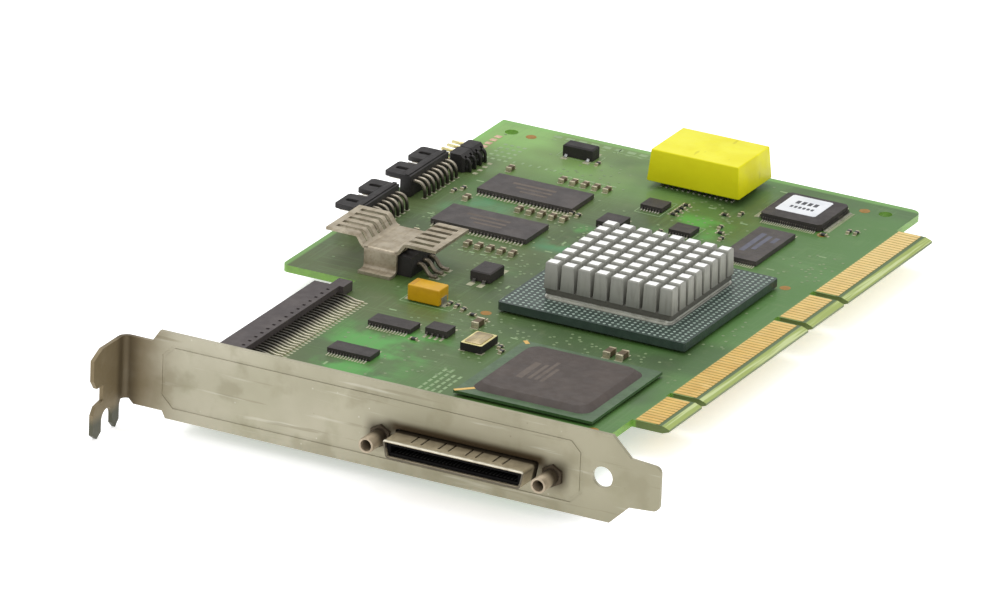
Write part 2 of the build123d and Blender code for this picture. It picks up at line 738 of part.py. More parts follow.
with BuildPart() as interface_substrate:
    with BuildSketch(Plane.XY.offset(interface_ball_height)):
        with Locations((interface_x, interface_y)):
            Rectangle(interface_size, interface_size)
    extrude(amount=interface_substrate_thickness)
interface_substrate.part.label = "interface_substrate"
export_step(interface_substrate.part, "parts/interface_substrate.step")

interface_top = interface_ball_height + interface_substrate_thickness
with BuildPart() as interface_cap:
    for height, shrink in ((interface_top, 0), (interface_top + cap_height, cap_draft)):
        with BuildSketch(Plane.XY.offset(height)) as outline:
            with Locations((interface_x, interface_y)):
                Rectangle(cap_size - 2 * shrink, cap_size - 2 * shrink)
            chamfer(outline.vertices(), cap_corner)
    loft()
interface_cap.part.label = "interface_cap"
export_step(interface_cap.part, "parts/interface_cap.step")

# Two memory chips
memory_places = [(memory_x, memory_first_y + i * memory_spacing) for i in range(2)]
with BuildPart() as memory_bodies:
    with BuildSketch(Plane.XY.offset(memory_standoff)):
        with Locations(*memory_places):
            Rectangle(memory_length, memory_width)
    extrude(amount=memory_height)
memory_bodies.part.label = "memory_bodies"
export_step(memory_bodies.part, "parts/memory_bodies.step")

memory_profile = ramp(memory_width / 2, memory_span / 2, memory_standoff + memory_height / 3,
                      fine_lead_thickness)
with BuildPart() as memory_leads:
    for place in memory_places:
        for turn in (0, 180):
            extrude(lead_row(memory_leads_a_side, memory_lead_pitch, memory_lead_width,
                             memory_profile, place, turn), amount=memory_lead_width)
memory_leads.part.label = "memory_leads"
export_step(memory_leads.part, "parts/memory_leads.step")

# Flash chip with leads on its short ends
with BuildPart() as flash_body:
    with BuildSketch(Plane.XY.offset(memory_standoff)):
        with Locations((flash_x, flash_y)):
            Rectangle(flash_width, flash_length)
    extrude(amount=memory_height)
flash_body.part.label = "flash_body"
export_step(flash_body.part, "parts/flash_body.step")

flash_profile = ramp(flash_length / 2, flash_span / 2, memory_standoff + memory_height / 3,
                     fine_lead_thickness)
with BuildPart() as flash_leads:
    for turn in (0, 180):
        extrude(lead_row(flash_leads_a_side, flash_lead_pitch, flash_lead_width, flash_profile,
                         (flash_x, flash_y), turn), amount=flash_lead_width)
flash_leads.part.label = "flash_leads"
export_step(flash_leads.part, "parts/flash_leads.step")

# Square logic chip, its leads on four sides and its paper label
with BuildPart() as logic_chip_body:
    with BuildSketch(Plane.XY.offset(memory_standoff)) as square:
        with Locations((logic_x, logic_y)):
            Rectangle(logic_size, logic_size)
        chamfer(square.vertices(), logic_corner)
    extrude(amount=logic_height)
logic_chip_body.part.label = "logic_chip_body"
export_step(logic_chip_body.part, "parts/logic_chip_body.step")

logic_profile = ramp(logic_size / 2, logic_span / 2, memory_standoff + logic_height / 3,
                     fine_lead_thickness)
with BuildPart() as logic_chip_leads:
    for turn in (0, 90, 180, 270):
        extrude(lead_row(logic_leads_a_side, logic_lead_pitch, logic_lead_width, logic_profile,
                         (logic_x, logic_y), turn), amount=logic_lead_width)
logic_chip_leads.part.label = "logic_chip_leads"
export_step(logic_chip_leads.part, "parts/logic_chip_leads.step")

with BuildPart() as chip_label:
    with BuildSketch(Plane.XY.offset(memory_standoff + logic_height)) as sticker:
        with Locations((logic_x + label_offset_x, logic_y + label_offset_y)):
            Rectangle(label_size, label_size)
        chamfer(sticker.vertices(), label_corner)
    extrude(amount=label_thickness)
chip_label.part.label = "chip_label"
export_step(chip_label.part, "parts/chip_label.step")

# Clock chip and the battery cap that snaps over it
with BuildPart() as clock_chip_body:
    with BuildSketch(Plane.XY.offset(seat)):
        with Locations((clock_x, clock_y)):
            Rectangle(clock_length, clock_width)
    extrude(amount=clock_height)
clock_chip_body.part.label = "clock_chip_body"
export_step(clock_chip_body.part, "parts/clock_chip_body.step")

clock_profile = ramp(clock_width / 2, clock_span / 2, seat + clock_height / 3,
                     clock_lead_thickness)
with BuildPart() as clock_chip_leads:
    for turn in (0, 180):
        extrude(lead_row(clock_leads_a_side, clock_lead_pitch, clock_lead_width, clock_profile,
                         (clock_x, clock_y), turn), amount=clock_lead_width)
clock_chip_leads.part.label = "clock_chip_leads"
export_step(clock_chip_leads.part, "parts/clock_chip_leads.step")

with BuildPart() as battery_cap:
    for height, length, width in ((cap_underside, cap_bottom_length, cap_bottom_width),
                                  (cap_underside + battery_cap_height, cap_top_length, cap_top_width)):
        with BuildSketch(Plane.XY.offset(height)):
            with Locations((clock_x, clock_y)):
                Rectangle(length, width)
    loft()
    chamfer(battery_cap.faces().sort_by(Axis.Z)[-1].edges(), battery_cap_edge)
    with BuildSketch(Plane.XY.offset(cap_underside)):
        with Locations((clock_x, clock_y)):
            Rectangle(clock_length + 2 * battery_cap_fit, clock_width + 2 * battery_cap_fit)
    extrude(amount=clock_top - cap_underside, mode=Mode.SUBTRACT)
battery_cap.part.label = "battery_cap"
export_step(battery_cap.part, "parts/battery_cap.step")

# Two bus transceivers
transceiver_places = [(transceiver_x, transceiver_first_y + i * transceiver_spacing) for i in range(2)]
with BuildPart() as transceiver_bodies:
    with BuildSketch(Plane.XY.offset(memory_standoff)):
        with Locations(*transceiver_places):
            Rectangle(transceiver_length, transceiver_width)
    extrude(amount=transceiver_height)
transceiver_bodies.part.label = "transceiver_bodies"
export_step(transceiver_bodies.part, "parts/transceiver_bodies.step")

transceiver_profile = ramp(transceiver_width / 2, transceiver_span / 2,
                           memory_standoff + transceiver_height / 3, fine_lead_thickness)
with BuildPart() as transceiver_leads:
    for place in transceiver_places:
        for turn in (0, 180):
            extrude(lead_row(transceiver_leads_a_side, transceiver_lead_pitch,
                             transceiver_lead_width, transceiver_profile, place, turn),
                    amount=transceiver_lead_width)
transceiver_leads.part.label = "transceiver_leads"
export_step(transceiver_leads.part, "parts/transceiver_leads.step")

# Two wide-lead small chips and two fine-lead ones
small_chips = ((amplifier_x, amplifier_y, amplifier_length, amplifier_width),
               (driver_x, driver_y, driver_length, driver_width))
with BuildPart() as small_chip_bodies:
    with BuildSketch(Plane.XY.offset(memory_standoff)):
        for x, y, length, width in small_chips:
            with Locations((x, y)):
                Rectangle(length, width)
    extrude(amount=small_chip_height)
    with BuildSketch(Plane.XY.offset(memory_standoff)):
        with Locations(*gate_places):
            Rectangle(gate_length, gate_width)
    extrude(amount=gate_height)
small_chip_bodies.part.label = "small_chip_bodies"
export_step(small_chip_bodies.part, "parts/small_chip_bodies.step")

gate_profile = ramp(gate_width / 2, gate_width / 2 + small_chip_lead,
                    memory_standoff + gate_height / 3, fine_lead_thickness)
with BuildPart() as small_chip_leads:
    for x, y, length, width in small_chips:
        profile = gull(width / 2, width / 2 + small_chip_lead, memory_standoff + small_chip_height / 3,
                       small_chip_lead_thickness, small_chip_lead / 2)
        for turn in (0, 180):
            extrude(lead_row(small_chip_leads_a_side, small_chip_lead_pitch, small_chip_lead_width,
                             profile, (x, y), turn), amount=small_chip_lead_width)
    for place in gate_places:
        for turn in (0, 180):
            extrude(lead_row(gate_leads_a_side, gate_lead_pitch, gate_lead_width, gate_profile,
                             place, turn), amount=gate_lead_width)
small_chip_leads.part.label = "small_chip_leads"
export_step(small_chip_leads.part, "parts/small_chip_leads.step")

# Crystal oscillator: ceramic body, metal lid
with BuildPart() as oscillator_body:
    with BuildSketch(Plane.XY.offset(seat)):
        with Locations((oscillator_x, oscillator_y)):
            Rectangle(oscillator_width, oscillator_length)
    extrude(amount=oscillator_height)
oscillator_body.part.label = "oscillator_body"
export_step(oscillator_body.part, "parts/oscillator_body.step")

with BuildPart() as oscillator_lid:
    with BuildSketch(Plane.XY.offset(seat + oscillator_height)) as cover:
        with Locations((oscillator_x, oscillator_y)):
            Rectangle(oscillator_width - 2 * oscillator_lid_inset,
                      oscillator_length - 2 * oscillator_lid_inset)
        chamfer(cover.vertices(), oscillator_lid_corner)
    extrude(amount=oscillator_lid_thickness)
oscillator_lid.part.label = "oscillator_lid"
export_step(oscillator_lid.part, "parts/oscillator_lid.step")

# Tantalum capacitor with folded terminals
with BuildPart() as tantalum_capacitor:
    with BuildSketch(Plane.XY.offset(tantalum_terminal_thickness)):
        with Locations((tantalum_x, tantalum_y)):
            Rectangle(tantalum_length, tantalum_width)
    extrude(amount=tantalum_height)
    chamfer(tantalum_capacitor.faces().sort_by(Axis.Z)[-1].edges(), tantalum_edge)
tantalum_capacitor.part.label = "tantalum_capacitor"
export_step(tantalum_capacitor.part, "parts/tantalum_capacitor.step")

with BuildPart() as tantalum_terminals:
    for side in (-1, 1):
        end = tantalum_x + side * tantalum_length / 2
        with BuildSketch(Plane.XZ.offset(-tantalum_y - tantalum_terminal_width / 2)):
            with BuildLine():
                Polyline((end - side * tantalum_terminal_length, 0),
                         (end + side * tantalum_terminal_thickness, 0),
                         (end + side * tantalum_terminal_thickness, tantalum_height / 2),
                         (end, tantalum_height / 2), (end, tantalum_terminal_thickness),
                         (end - side * tantalum_terminal_length, tantalum_terminal_thickness), close=True)
            make_face()
        extrude(amount=tantalum_terminal_width)
tantalum_terminals.part.label = "tantalum_terminals"
export_step(tantalum_terminals.part, "parts/tantalum_terminals.step")

# Power regulator under its heat spreader, beside the near leg
bridge_under = seat + regulator_height + spreader_fit
bridge_top = bridge_under + spreader_sheet
wing_top = bridge_top + spreader_wing_rise
bridge_left = spreader_x - spreader_bridge_length / 2
bridge_right = spreader_x + spreader_bridge_length / 2
wing_left = spreader_x - spreader_length / 2
wing_right = spreader_x + spreader_length / 2
leg_half = spreader_width / 2
spreader_corner = spreader_sheet + seat
regulator_y = spreader_y - leg_half + spreader_sheet + spreader_fit + regulator_width / 2
regulator_ends = (bridge_right + regulator_end_lead - regulator_length, bridge_right + regulator_end_lead)
with BuildPart() as regulator_body:
    with BuildSketch(Plane.XZ.offset(-regulator_y - regulator_width / 2)):
        with BuildLine():
            Polyline((regulator_ends[0], seat + regulator_tab_thickness),
                     (regulator_ends[0] + regulator_rear_slope, seat + regulator_height),
                     (regulator_ends[1] - regulator_front_slopes[0], seat + regulator_height),
                     (regulator_ends[1], seat + regulator_height / 2),
                     (regulator_ends[1] - regulator_front_slopes[1], seat),
                     (regulator_ends[0] + regulator_step, seat),
                     (regulator_ends[0] + regulator_step, seat + regulator_tab_thickness), close=True)
        make_face()
    extrude(amount=regulator_width)
regulator_body.part.label = "regulator_body"
export_step(regulator_body.part, "parts/regulator_body.step")

with BuildPart() as regulator_tab:
    with BuildSketch():
        with Locations((regulator_ends[0] + (regulator_step - regulator_tab_reach) / 2, regulator_y)):
            Rectangle(regulator_tab_reach + regulator_step, regulator_width - 2 * regulator_tab_margin)
    extrude(amount=seat + regulator_tab_thickness)
regulator_tab.part.label = "regulator_tab"
export_step(regulator_tab.part, "parts/regulator_tab.step")

regulator_profile = gull(0, regulator_lead_reach, regulator_lead_exit, regulator_lead_thickness,
                         regulator_lead_foot)
with BuildPart() as regulator_leads_row:
    extrude(lead_row(regulator_leads, regulator_lead_pitch, regulator_lead_width, regulator_profile,
                     (regulator_ends[1], regulator_y), -90), amount=regulator_lead_width)
regulator_leads_row.part.label = "regulator_leads"
export_step(regulator_leads_row.part, "parts/regulator_leads.step")

with BuildPart() as heat_spreader:
    with BuildSketch(Plane.XZ.offset(-spreader_y - spreader_width / 2)):
        with BuildLine():
            FilletPolyline((wing_left, wing_top), (bridge_left - spreader_ramp, wing_top),
                           (bridge_left, bridge_top), (bridge_right, bridge_top),
                           (bridge_right + spreader_ramp, wing_top), (wing_right, wing_top),
                           radius=spreader_bend)
            offset(amount=spreader_sheet, side=Side.RIGHT)
        make_face()
    extrude(amount=spreader_width)
    with BuildSketch(Plane.YZ.offset(bridge_left)):
        with Locations(*[(spreader_y + side * (leg_half - spreader_corner / 2),
                          bridge_top - spreader_corner / 2) for side in (-1, 1)]):
            Rectangle(spreader_corner, spreader_corner)
        with Locations(*[(spreader_y + side * (leg_half - spreader_corner),
                          bridge_top - spreader_corner) for side in (-1, 1)]):
            Circle(spreader_corner, mode=Mode.SUBTRACT)
    extrude(amount=spreader_bridge_length, mode=Mode.SUBTRACT)
    with BuildSketch(Plane.YZ.offset(bridge_left)):
        with BuildLine():
            FilletPolyline((spreader_y - leg_half - spreader_foot, spreader_sheet),
                           (spreader_y - leg_half, spreader_sheet),
                           (spreader_y - leg_half, bridge_top),
                           (spreader_y + leg_half, bridge_top),
                           (spreader_y + leg_half, spreader_sheet),
                           (spreader_y + leg_half + spreader_foot, spreader_sheet),
                           radius=spreader_corner)
            offset(amount=spreader_sheet, side=Side.RIGHT)
        make_face()
    extrude(amount=spreader_bridge_length)
    with BuildSketch(Plane.XY.offset(bridge_under)):
        for start, stop in ((wing_left + spreader_rim, bridge_left - spreader_slot_end),
                            (bridge_right + spreader_slot_end, wing_right - spreader_rim)):
            with Locations(*[((start + stop) / 2, y)
                             for y in spread(spreader_slots, spreader_slot_pitch, spreader_y)]):
                Rectangle(stop - start, spreader_slot_width)
    extrude(amount=wing_top - bridge_under, mode=Mode.SUBTRACT)
heat_spreader.part.label = "heat_spreader"
export_step(heat_spreader.part, "parts/heat_spreader.step")

# Two headers: housings with flags, and bent pins
header_places = [header_first_y + i * header_spacing for i in range(2)]
header_length = (header_positions - 1) * header_pitch + 2 * header_end
header_front = -header_overhang
flag_length = header_back - header_back_wall + header_overhang
flag_width = (header_length - header_gap_width) / 2
flag_places = [y + side * (header_gap_width + flag_width) / 2 for y in header_places for side in (-1, 1)]
header_pin_places = [y + step for y in header_places for step in spread(header_positions, header_pitch)]
header_pin_middle = seat + header_pin_height
with BuildPart() as header_housings:
    with BuildSketch(Plane.XY.offset(seat)):
        with Locations(*[(header_back - header_back_wall / 2, y) for y in header_places]):
            Rectangle(header_back_wall, header_length)
    extrude(amount=header_height)
    with BuildSketch(Plane.XY.offset(seat + header_height)) as flags:
        with Locations(*[(header_front + flag_length / 2, y) for y in flag_places]):
            Rectangle(flag_length, flag_width)
        fillet(flags.vertices().group_by(Axis.X)[0], header_flag_round)
        with Locations(*[(header_front + flag_length - header_window_length / 2, y) for y in flag_places]):
            Rectangle(header_window_length, header_window_width, mode=Mode.SUBTRACT)
    extrude(amount=-header_flag)
    with BuildSketch(Plane.XY.offset(seat + header_height)):
        with Locations(*[(header_back - header_rib_inset - header_rib_width / 2, y)
                         for y in header_places]):
            Rectangle(header_rib_width, header_length)
    extrude(amount=header_rib_height)
    with BuildSketch(Plane.YZ.offset(header_back)):
        with Locations(*[(y, header_pin_middle) for y in header_pin_places]):
            Rectangle(header_pin + 2 * pin_clearance, header_pin + 2 * pin_clearance)
    extrude(amount=-header_back_wall, mode=Mode.SUBTRACT)
header_housings.part.label = "header_housings"
export_step(header_housings.part, "parts/header_housings.step")

pin_low = header_pin_middle - header_pin / 2
with BuildPart() as header_pins:
    with BuildSketch(*[Plane.XZ.offset(-y - header_pin / 2) for y in header_pin_places]):
        with BuildLine():
            Polyline((header_front + header_pin_tip, pin_low),
                     (header_front + header_pin_tip, pin_low + header_pin),
                     (header_pin_row - header_pin / 2, pin_low + header_pin),
                     (header_pin_row + header_pin / 2, pin_low - header_pin / 2),
                     (header_pin_row + header_pin / 2, 0), (header_pin_row - header_pin / 2, 0),
                     (header_pin_row - header_pin / 2, pin_low - header_pin / 2),
                     (header_pin_row - header_pin, pin_low), close=True)
        make_face()
    extrude(amount=header_pin)
header_pins.part.label = "header_pins"
export_step(header_pins.part, "parts/header_pins.step")

# Two small pin headers beside them
strip_places = [strip_first_y + i * strip_spacing for i in range(2)]
strip_pin_places = [y + step for y in strip_places for step in spread(2, strip_pitch)]
with BuildPart() as pin_strip_bodies:
    with BuildSketch(Plane.XY.offset(seat)) as strips:
        with Locations(*[(strip_back - strip_depth / 2, y) for y in strip_places]):
            Rectangle(strip_depth, strip_width)
        chamfer(strips.vertices(), strip_corner)
    extrude(amount=strip_height)
    rear_edges = pin_strip_bodies.edges().filter_by(Axis.Y).group_by(Axis.Z)[-1].sort_by(Axis.X)[-2:]
    chamfer(rear_edges, strip_brow)
    with BuildSketch(Plane.YZ.offset(strip_back)):
        with Locations(*[(y, z) for y in strip_pin_places for z in (strip_pin_low, strip_pin_high)]):
            Rectangle(strip_pin + 2 * pin_clearance, strip_pin + 2 * pin_clearance)
    extrude(amount=-strip_depth, mode=Mode.SUBTRACT)
pin_strip_bodies.part.label = "pin_strip_bodies"
export_step(pin_strip_bodies.part, "parts/pin_strip_bodies.step")

strip_tail = strip_back + strip_pin_tail
with BuildPart() as pin_strip_pins:
    with BuildSketch(*[Plane.XZ.offset(-y - strip_pin / 2) for y in strip_pin_places]):
        with BuildLine():
            Polyline((strip_pin_start, strip_pin_high - strip_pin / 2),
                     (strip_pin_start, strip_pin_high + strip_pin / 2),
                     (strip_tail + 2 * strip_pin, strip_pin_high + strip_pin / 2),
                     (strip_tail + 2 * strip_pin, 0), (strip_tail + strip_pin, 0),
                     (strip_tail + strip_pin, strip_pin_high - strip_pin / 2), close=True)
        make_face()
        with BuildLine():
            Polyline((strip_pin_start, strip_pin_low - strip_pin / 2),
                     (strip_pin_start, strip_pin_low + strip_pin / 2),
                     (strip_tail, strip_pin_low + strip_pin / 2), (strip_tail, 0),
                     (strip_tail - strip_pin, 0),
                     (strip_tail - strip_pin, strip_pin_low - strip_pin / 2), close=True)
        make_face()
    extrude(amount=strip_pin)
pin_strip_pins.part.label = "pin_strip_pins"
export_step(pin_strip_pins.part, "parts/pin_strip_pins.step")

# Two-lead block and its terminals
with BuildPart() as block_body:
    with BuildSketch(Plane.XY.offset(seat)):
        with Locations((block_x, block_y)):
            Rectangle(block_length, block_width)
    extrude(amount=block_height)
    chamfer(block_body.faces().sort_by(Axis.Z)[-1].edges(), block_edge)
block_body.part.label = "block_body"
export_step(block_body.part, "parts/block_body.step")

with BuildPart() as block_terminals:
    for turn in (0, 180):
        profile = gull(block_width / 2, block_width / 2 + block_lead_reach, seat + block_lead_exit,
                       block_lead_thickness, block_lead_foot)
        extrude(lead_row(2, block_length - 2 * block_lead_inset, block_lead_width, profile,
                         (block_x, block_y), turn), amount=block_lead_width)
block_terminals.part.label = "block_terminals"
export_step(block_terminals.part, "parts/block_terminals.step")

# Power switch chip
with BuildPart() as switch_body:
    with BuildSketch(Plane.XY.offset(memory_standoff)):
        with Locations((switch_x, switch_y)):
            Rectangle(switch_width, switch_length)
    extrude(amount=switch_height)
    chamfer(switch_body.faces().sort_by(Axis.Z)[-1].edges(), switch_edge)
switch_body.part.label = "switch_body"
export_step(switch_body.part, "parts/switch_body.step")

with BuildPart() as switch_leads:
    profile = gull(switch_length / 2, switch_length / 2 + switch_lead_reach,
                   memory_standoff + switch_lead_exit, switch_lead_thickness, switch_lead_foot)
    extrude(lead_row(2, switch_lead_pitch, switch_lead_width, profile, (switch_x, switch_y), 180),
            amount=switch_lead_width)
    with BuildSketch():
        with Locations((switch_x, switch_y + switch_length / 2 + switch_tab_reach / 2)):
            Rectangle(switch_width - 2 * switch_tab_margin, switch_tab_reach)
    extrude(amount=switch_tab_thickness)
switch_leads.part.label = "switch_leads"
export_step(switch_leads.part, "parts/switch_leads.step")

# Chip capacitors: rows by the memory and a few larger ones
row_places = [(row_start_x + i * row_pitch, y) for y in row_places_y for i in range(row_count)]
row_places += [(row_outlier_x, y) for y in row_places_y]
large_chip_places = [(x, large_chip_y) for x in large_chip_places_x]
with BuildPart() as chip_capacitor_bodies:
    with BuildSketch(Plane.XY.offset(seat)):
        with Locations(*row_places):
            Rectangle(chip_width, chip_length - 2 * chip_end)
    extrude(amount=chip_height)
    with BuildSketch(Plane.XY.offset(seat)):
        with Locations(*large_chip_places):
            Rectangle(large_chip_width, large_chip_length - 2 * chip_end)
    extrude(amount=large_chip_height)
chip_capacitor_bodies.part.label = "chip_capacitor_bodies"
export_step(chip_capacitor_bodies.part, "parts/chip_capacitor_bodies.step")

with BuildPart() as chip_capacitor_ends:
    with BuildSketch():
        with Locations(*[(x, y + side * (chip_length - chip_end) / 2)
                         for x, y in row_places for side in (-1, 1)]):
            Rectangle(chip_width, chip_end)
    extrude(amount=chip_height + seat)
    with BuildSketch():
        with Locations(*[(x, y + side * (large_chip_length - chip_end) / 2)
                         for x, y in large_chip_places for side in (-1, 1)]):
            Rectangle(large_chip_width, chip_end)
    extrude(amount=large_chip_height + seat)
chip_capacitor_ends.part.label = "chip_capacitor_ends"
export_step(chip_capacitor_ends.part, "parts/chip_capacitor_ends.step")
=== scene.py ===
"""Disk array controller card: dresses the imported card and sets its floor, light and camera.

Sizes are typed in millimetres, in the card's own frame: X from the free long edge, Y from the
bracket's outer face, Z from the board's component side.
"""
import math
import random

import bmesh
import bpy
from mathutils import Matrix, Vector


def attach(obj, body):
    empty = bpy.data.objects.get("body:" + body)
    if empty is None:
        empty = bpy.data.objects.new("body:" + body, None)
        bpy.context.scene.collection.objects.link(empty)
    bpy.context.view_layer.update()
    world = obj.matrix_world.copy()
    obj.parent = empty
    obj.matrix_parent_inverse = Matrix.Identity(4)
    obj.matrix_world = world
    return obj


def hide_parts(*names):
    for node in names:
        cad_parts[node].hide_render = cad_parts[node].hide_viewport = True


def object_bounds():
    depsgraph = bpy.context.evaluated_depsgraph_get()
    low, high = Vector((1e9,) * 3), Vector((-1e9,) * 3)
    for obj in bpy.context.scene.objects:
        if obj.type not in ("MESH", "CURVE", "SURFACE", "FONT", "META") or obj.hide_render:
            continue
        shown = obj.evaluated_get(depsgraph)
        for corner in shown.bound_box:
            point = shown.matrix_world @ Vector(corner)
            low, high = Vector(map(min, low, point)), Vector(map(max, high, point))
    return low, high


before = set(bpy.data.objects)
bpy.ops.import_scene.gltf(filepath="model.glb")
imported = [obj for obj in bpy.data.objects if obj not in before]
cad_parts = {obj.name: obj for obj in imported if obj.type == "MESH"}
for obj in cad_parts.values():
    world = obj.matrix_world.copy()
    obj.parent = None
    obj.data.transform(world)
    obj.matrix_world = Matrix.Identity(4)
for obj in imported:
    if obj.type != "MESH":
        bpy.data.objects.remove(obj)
cad_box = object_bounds()

MM = 0.001
SIDES = (-1, 1)
SEAT = 0.02                   # thin plates lie this far above what carries them
BEND_ANGLE = 50               # bent metal is shaded smooth below this angle

# Places of the parts
SHOULDER = 98.43              # end of the board beside its tongue
BEVEL = 103.6                 # start of the bevel along the tongue's end
PROCESSOR = (70.65, 98.15)
INTERFACE = (78.0, 48.3)
MEMORIES = ((26.15, 118.1), (26.15, 138.7))
FLASH = (78.7, 136.9)
LOGIC = (78.5, 159.2)
CLOCK = (54.1, 163.6)
TRANSCEIVERS = ((35.4, 41.4), (35.4, 58.7))
NARROW_CHIP = (45.1, 60.3)
BROAD_CHIP = (47.5, 132.4)
FLAT_CHIPS = ((50.4, 146.3), (61.7, 136.8))
OSCILLATOR = (54.95, 58.3)
TANTALUM = (34.7, 74.6)
SWITCH = (38.9, 92.6)
TERMINAL_BLOCK = (23.8, 164.1)
REGULATOR = (26.25, 88.894)   # middle of its lead end
PORT = (82.6, 3.1)            # X and Z
INNER_PLACE = 45.5
INNER_REAR = 18.1
HEADER_PLACES = (110.0, 132.0)
STRIP_PLACES = (144.4, 149.1)

# Sizes that more than one piece uses
PROCESSOR_TOP = 2.3
INTERFACE_TOP = 2.25
FLAT_TOP = 1.12
LABEL_TOP = 1.6
LID_HALF = 14.65
SINK_PINS = 8
SINK_FIELD = (29.8, 28.95)
JACK_SPACING = 38.0
HEADER_LENGTH = 17.0
HEADER_GAP = 3.2
HEADER_BACK = 4.7
SWITCH_LEAD = 1.15
TERMINAL_REACH = 2.6

# Rows of leads, pins or contacts, as a count and a pitch
BALL_PITCH = 1.27
MEMORY_LINE = (27, 0.8)
FLASH_LINE = (16, 0.5)
LOGIC_LINE = (25, 0.5)
CLOCK_LINE = (14, 1.27)
BUS_LINE = (14, 0.65)
SMALL_LINE = (4, 1.27)
FLAT_LINE = (7, 0.65)
INNER_LINE = (34, 1.27)
REGULATOR_LINE = (3, 2.54)
HEADER_LINE = (8, 2.0)
PORT_LINE = (34, 0.8)

random.seed(64)


# Modelling by hand

def rest():
    """Leaves object mode with nothing selected."""
    if bpy.context.mode != 'OBJECT':
        bpy.ops.object.mode_set(mode='OBJECT')
    bpy.ops.object.select_all(action='DESELECT')


def pick(obj):
    """Selects one object and makes it the active one."""
    rest()
    obj.select_set(True)
    bpy.context.view_layer.objects.active = obj


def settle(obj):
    """Applies an object's place, turn and size to its mesh."""
    pick(obj)
    bpy.ops.object.transform_apply(location=True, rotation=True, scale=True)
    return obj


def steps(count, pitch):
    """Places of a row about its middle."""
    return [(i - (count - 1) / 2) * pitch for i in range(count)]


def block(low, high):
    """Box between two corners."""
    rest()
    bpy.ops.mesh.primitive_cube_add(size=1, location=[(a + b) / 2 * MM for a, b in zip(low, high)])
    box = bpy.context.object
    box.scale = [(b - a) * MM for a, b in zip(low, high)]
    return settle(box)


def slab(place, half, low, high):
    """Box about a place on the board, with its half sizes along X and Y, between two heights."""
    x, y = place
    return block((x - half[0], y - half[1], low), (x + half[0], y + half[1], high))


def rod(centre, radius, length, sides, turn=(0, 0, 0)):
    """Cylinder about its middle."""
    rest()
    bpy.ops.mesh.primitive_cylinder_add(vertices=sides, radius=radius * MM, depth=length * MM,
                                        location=[v * MM for v in centre], rotation=turn)
    return settle(bpy.context.object)


def choose(obj, kind, test):
    """Selects faces or edges by a test of their middle in mm and their normal or direction."""
    pick(obj)
    bpy.context.tool_settings.mesh_select_mode = (False, kind == 'EDGE', kind == 'FACE')
    mesh = obj.data
    mesh.polygons.foreach_set("select", [False] * len(mesh.polygons))
    mesh.edges.foreach_set("select", [False] * len(mesh.edges))
    mesh.vertices.foreach_set("select", [False] * len(mesh.vertices))
    if kind == 'FACE':
        for face in mesh.polygons:
            face.select = test(face.center / MM, face.normal)
    else:
        for edge in mesh.edges:
            a, b = (mesh.vertices[i].co / MM for i in edge.vertices)
            edge.select = test((a + b) / 2, (b - a).normalized())
    bpy.ops.object.mode_set(mode='EDIT')


def soften(obj, width, segments, test=None):
    """Bevels all edges, or the ones that a test picks."""
    choose(obj, 'EDGE', test or (lambda middle, way: True))
    bpy.ops.mesh.bevel(offset=width * MM, segments=segments, affect='EDGES', clamp_overlap=True)
    rest()
    return obj


def upright(middle, way):
    """Test for edges that stand up."""
    return abs(way.z) > 0.9


def outer_corner(middle, way):
    """Test for upright edges outside the board's free edge."""
    return upright(middle, way) and middle.x < 0


def above(height):
    """Test for edges above a height."""
    return lambda middle, way: middle.z > height


def facing_up(middle, normal):
    """Test for faces that look up."""
    return normal.z > 0.9


def inset_top(obj, width, rise):
    """Insets the upper face and moves the new one up or down."""
    choose(obj, 'FACE', facing_up)
    bpy.ops.mesh.inset(thickness=width * MM, depth=0)
    bpy.ops.transform.translate(value=(0, 0, rise * MM))
    rest()
    return obj


def scale_faces(obj, factor, place, test=facing_up):
    """Resizes the chosen faces about a place, so that the sides beside them slope."""
    choose(obj, 'FACE', test)
    bpy.ops.transform.resize(value=factor, center_override=(place[0] * MM, place[1] * MM, 0))
    rest()


def hollow(obj, wall, move, test):
    """Insets the chosen face by a wall and pushes the new one in."""
    choose(obj, 'FACE', test)
    bpy.ops.mesh.inset(thickness=wall * MM, depth=0)
    bpy.ops.mesh.extrude_region_move(TRANSFORM_OT_translate={"value": [v * MM for v in move]})
    rest()


def finish_mesh(obj, angle=35):
    """Smooth shading below an angle."""
    pick(obj)
    bpy.ops.object.shade_smooth_by_angle(angle=math.radians(angle))
    return obj


def apply_all(obj):
    """Applies an object's modifiers in order."""
    pick(obj)
    for modifier in list(obj.modifiers):
        bpy.ops.object.modifier_apply(modifier=modifier.name)
    return obj


def row(obj, count, step):
    """Repeats a piece in equal steps about its place."""
    array = obj.modifiers.new("row", 'ARRAY')
    array.use_relative_offset = False
    array.use_constant_offset = True
    array.constant_offset_displace = [v * MM for v in step]
    array.count = count
    apply_all(obj)
    obj.location = [-(count - 1) / 2 * v * MM for v in step]
    return settle(obj)


def gather(obj, moves):
    """Copies a piece's mesh by each of several transforms, as one object."""
    whole = bmesh.new()
    for move in moves:
        piece = obj.data.copy()
        piece.transform(move)
        whole.from_mesh(piece)
        bpy.data.meshes.remove(piece)
    whole.to_mesh(obj.data)
    whole.free()
    return obj


def moved(x, y, z, turn):
    """Transform to a place, turned about the vertical by degrees."""
    return Matrix.Translation((x * MM, y * MM, z * MM)) @ Matrix.Rotation(math.radians(turn), 4, 'Z')


def stamp(obj, places):
    """Copies a piece to places given as x, y, z and turn, as one object."""
    return gather(obj, [moved(*place) for place in places])


def plates(thickness, places, height=0):
    """Thin plates at one height, given as x, y, width, length and turn, as one object."""
    plate = block((-0.5, -0.5, 0), (0.5, 0.5, thickness))
    return gather(plate, [moved(x, y, height, turn) @ Matrix.Diagonal((width, length, 1, 1))
                          for x, y, width, length, turn in places])


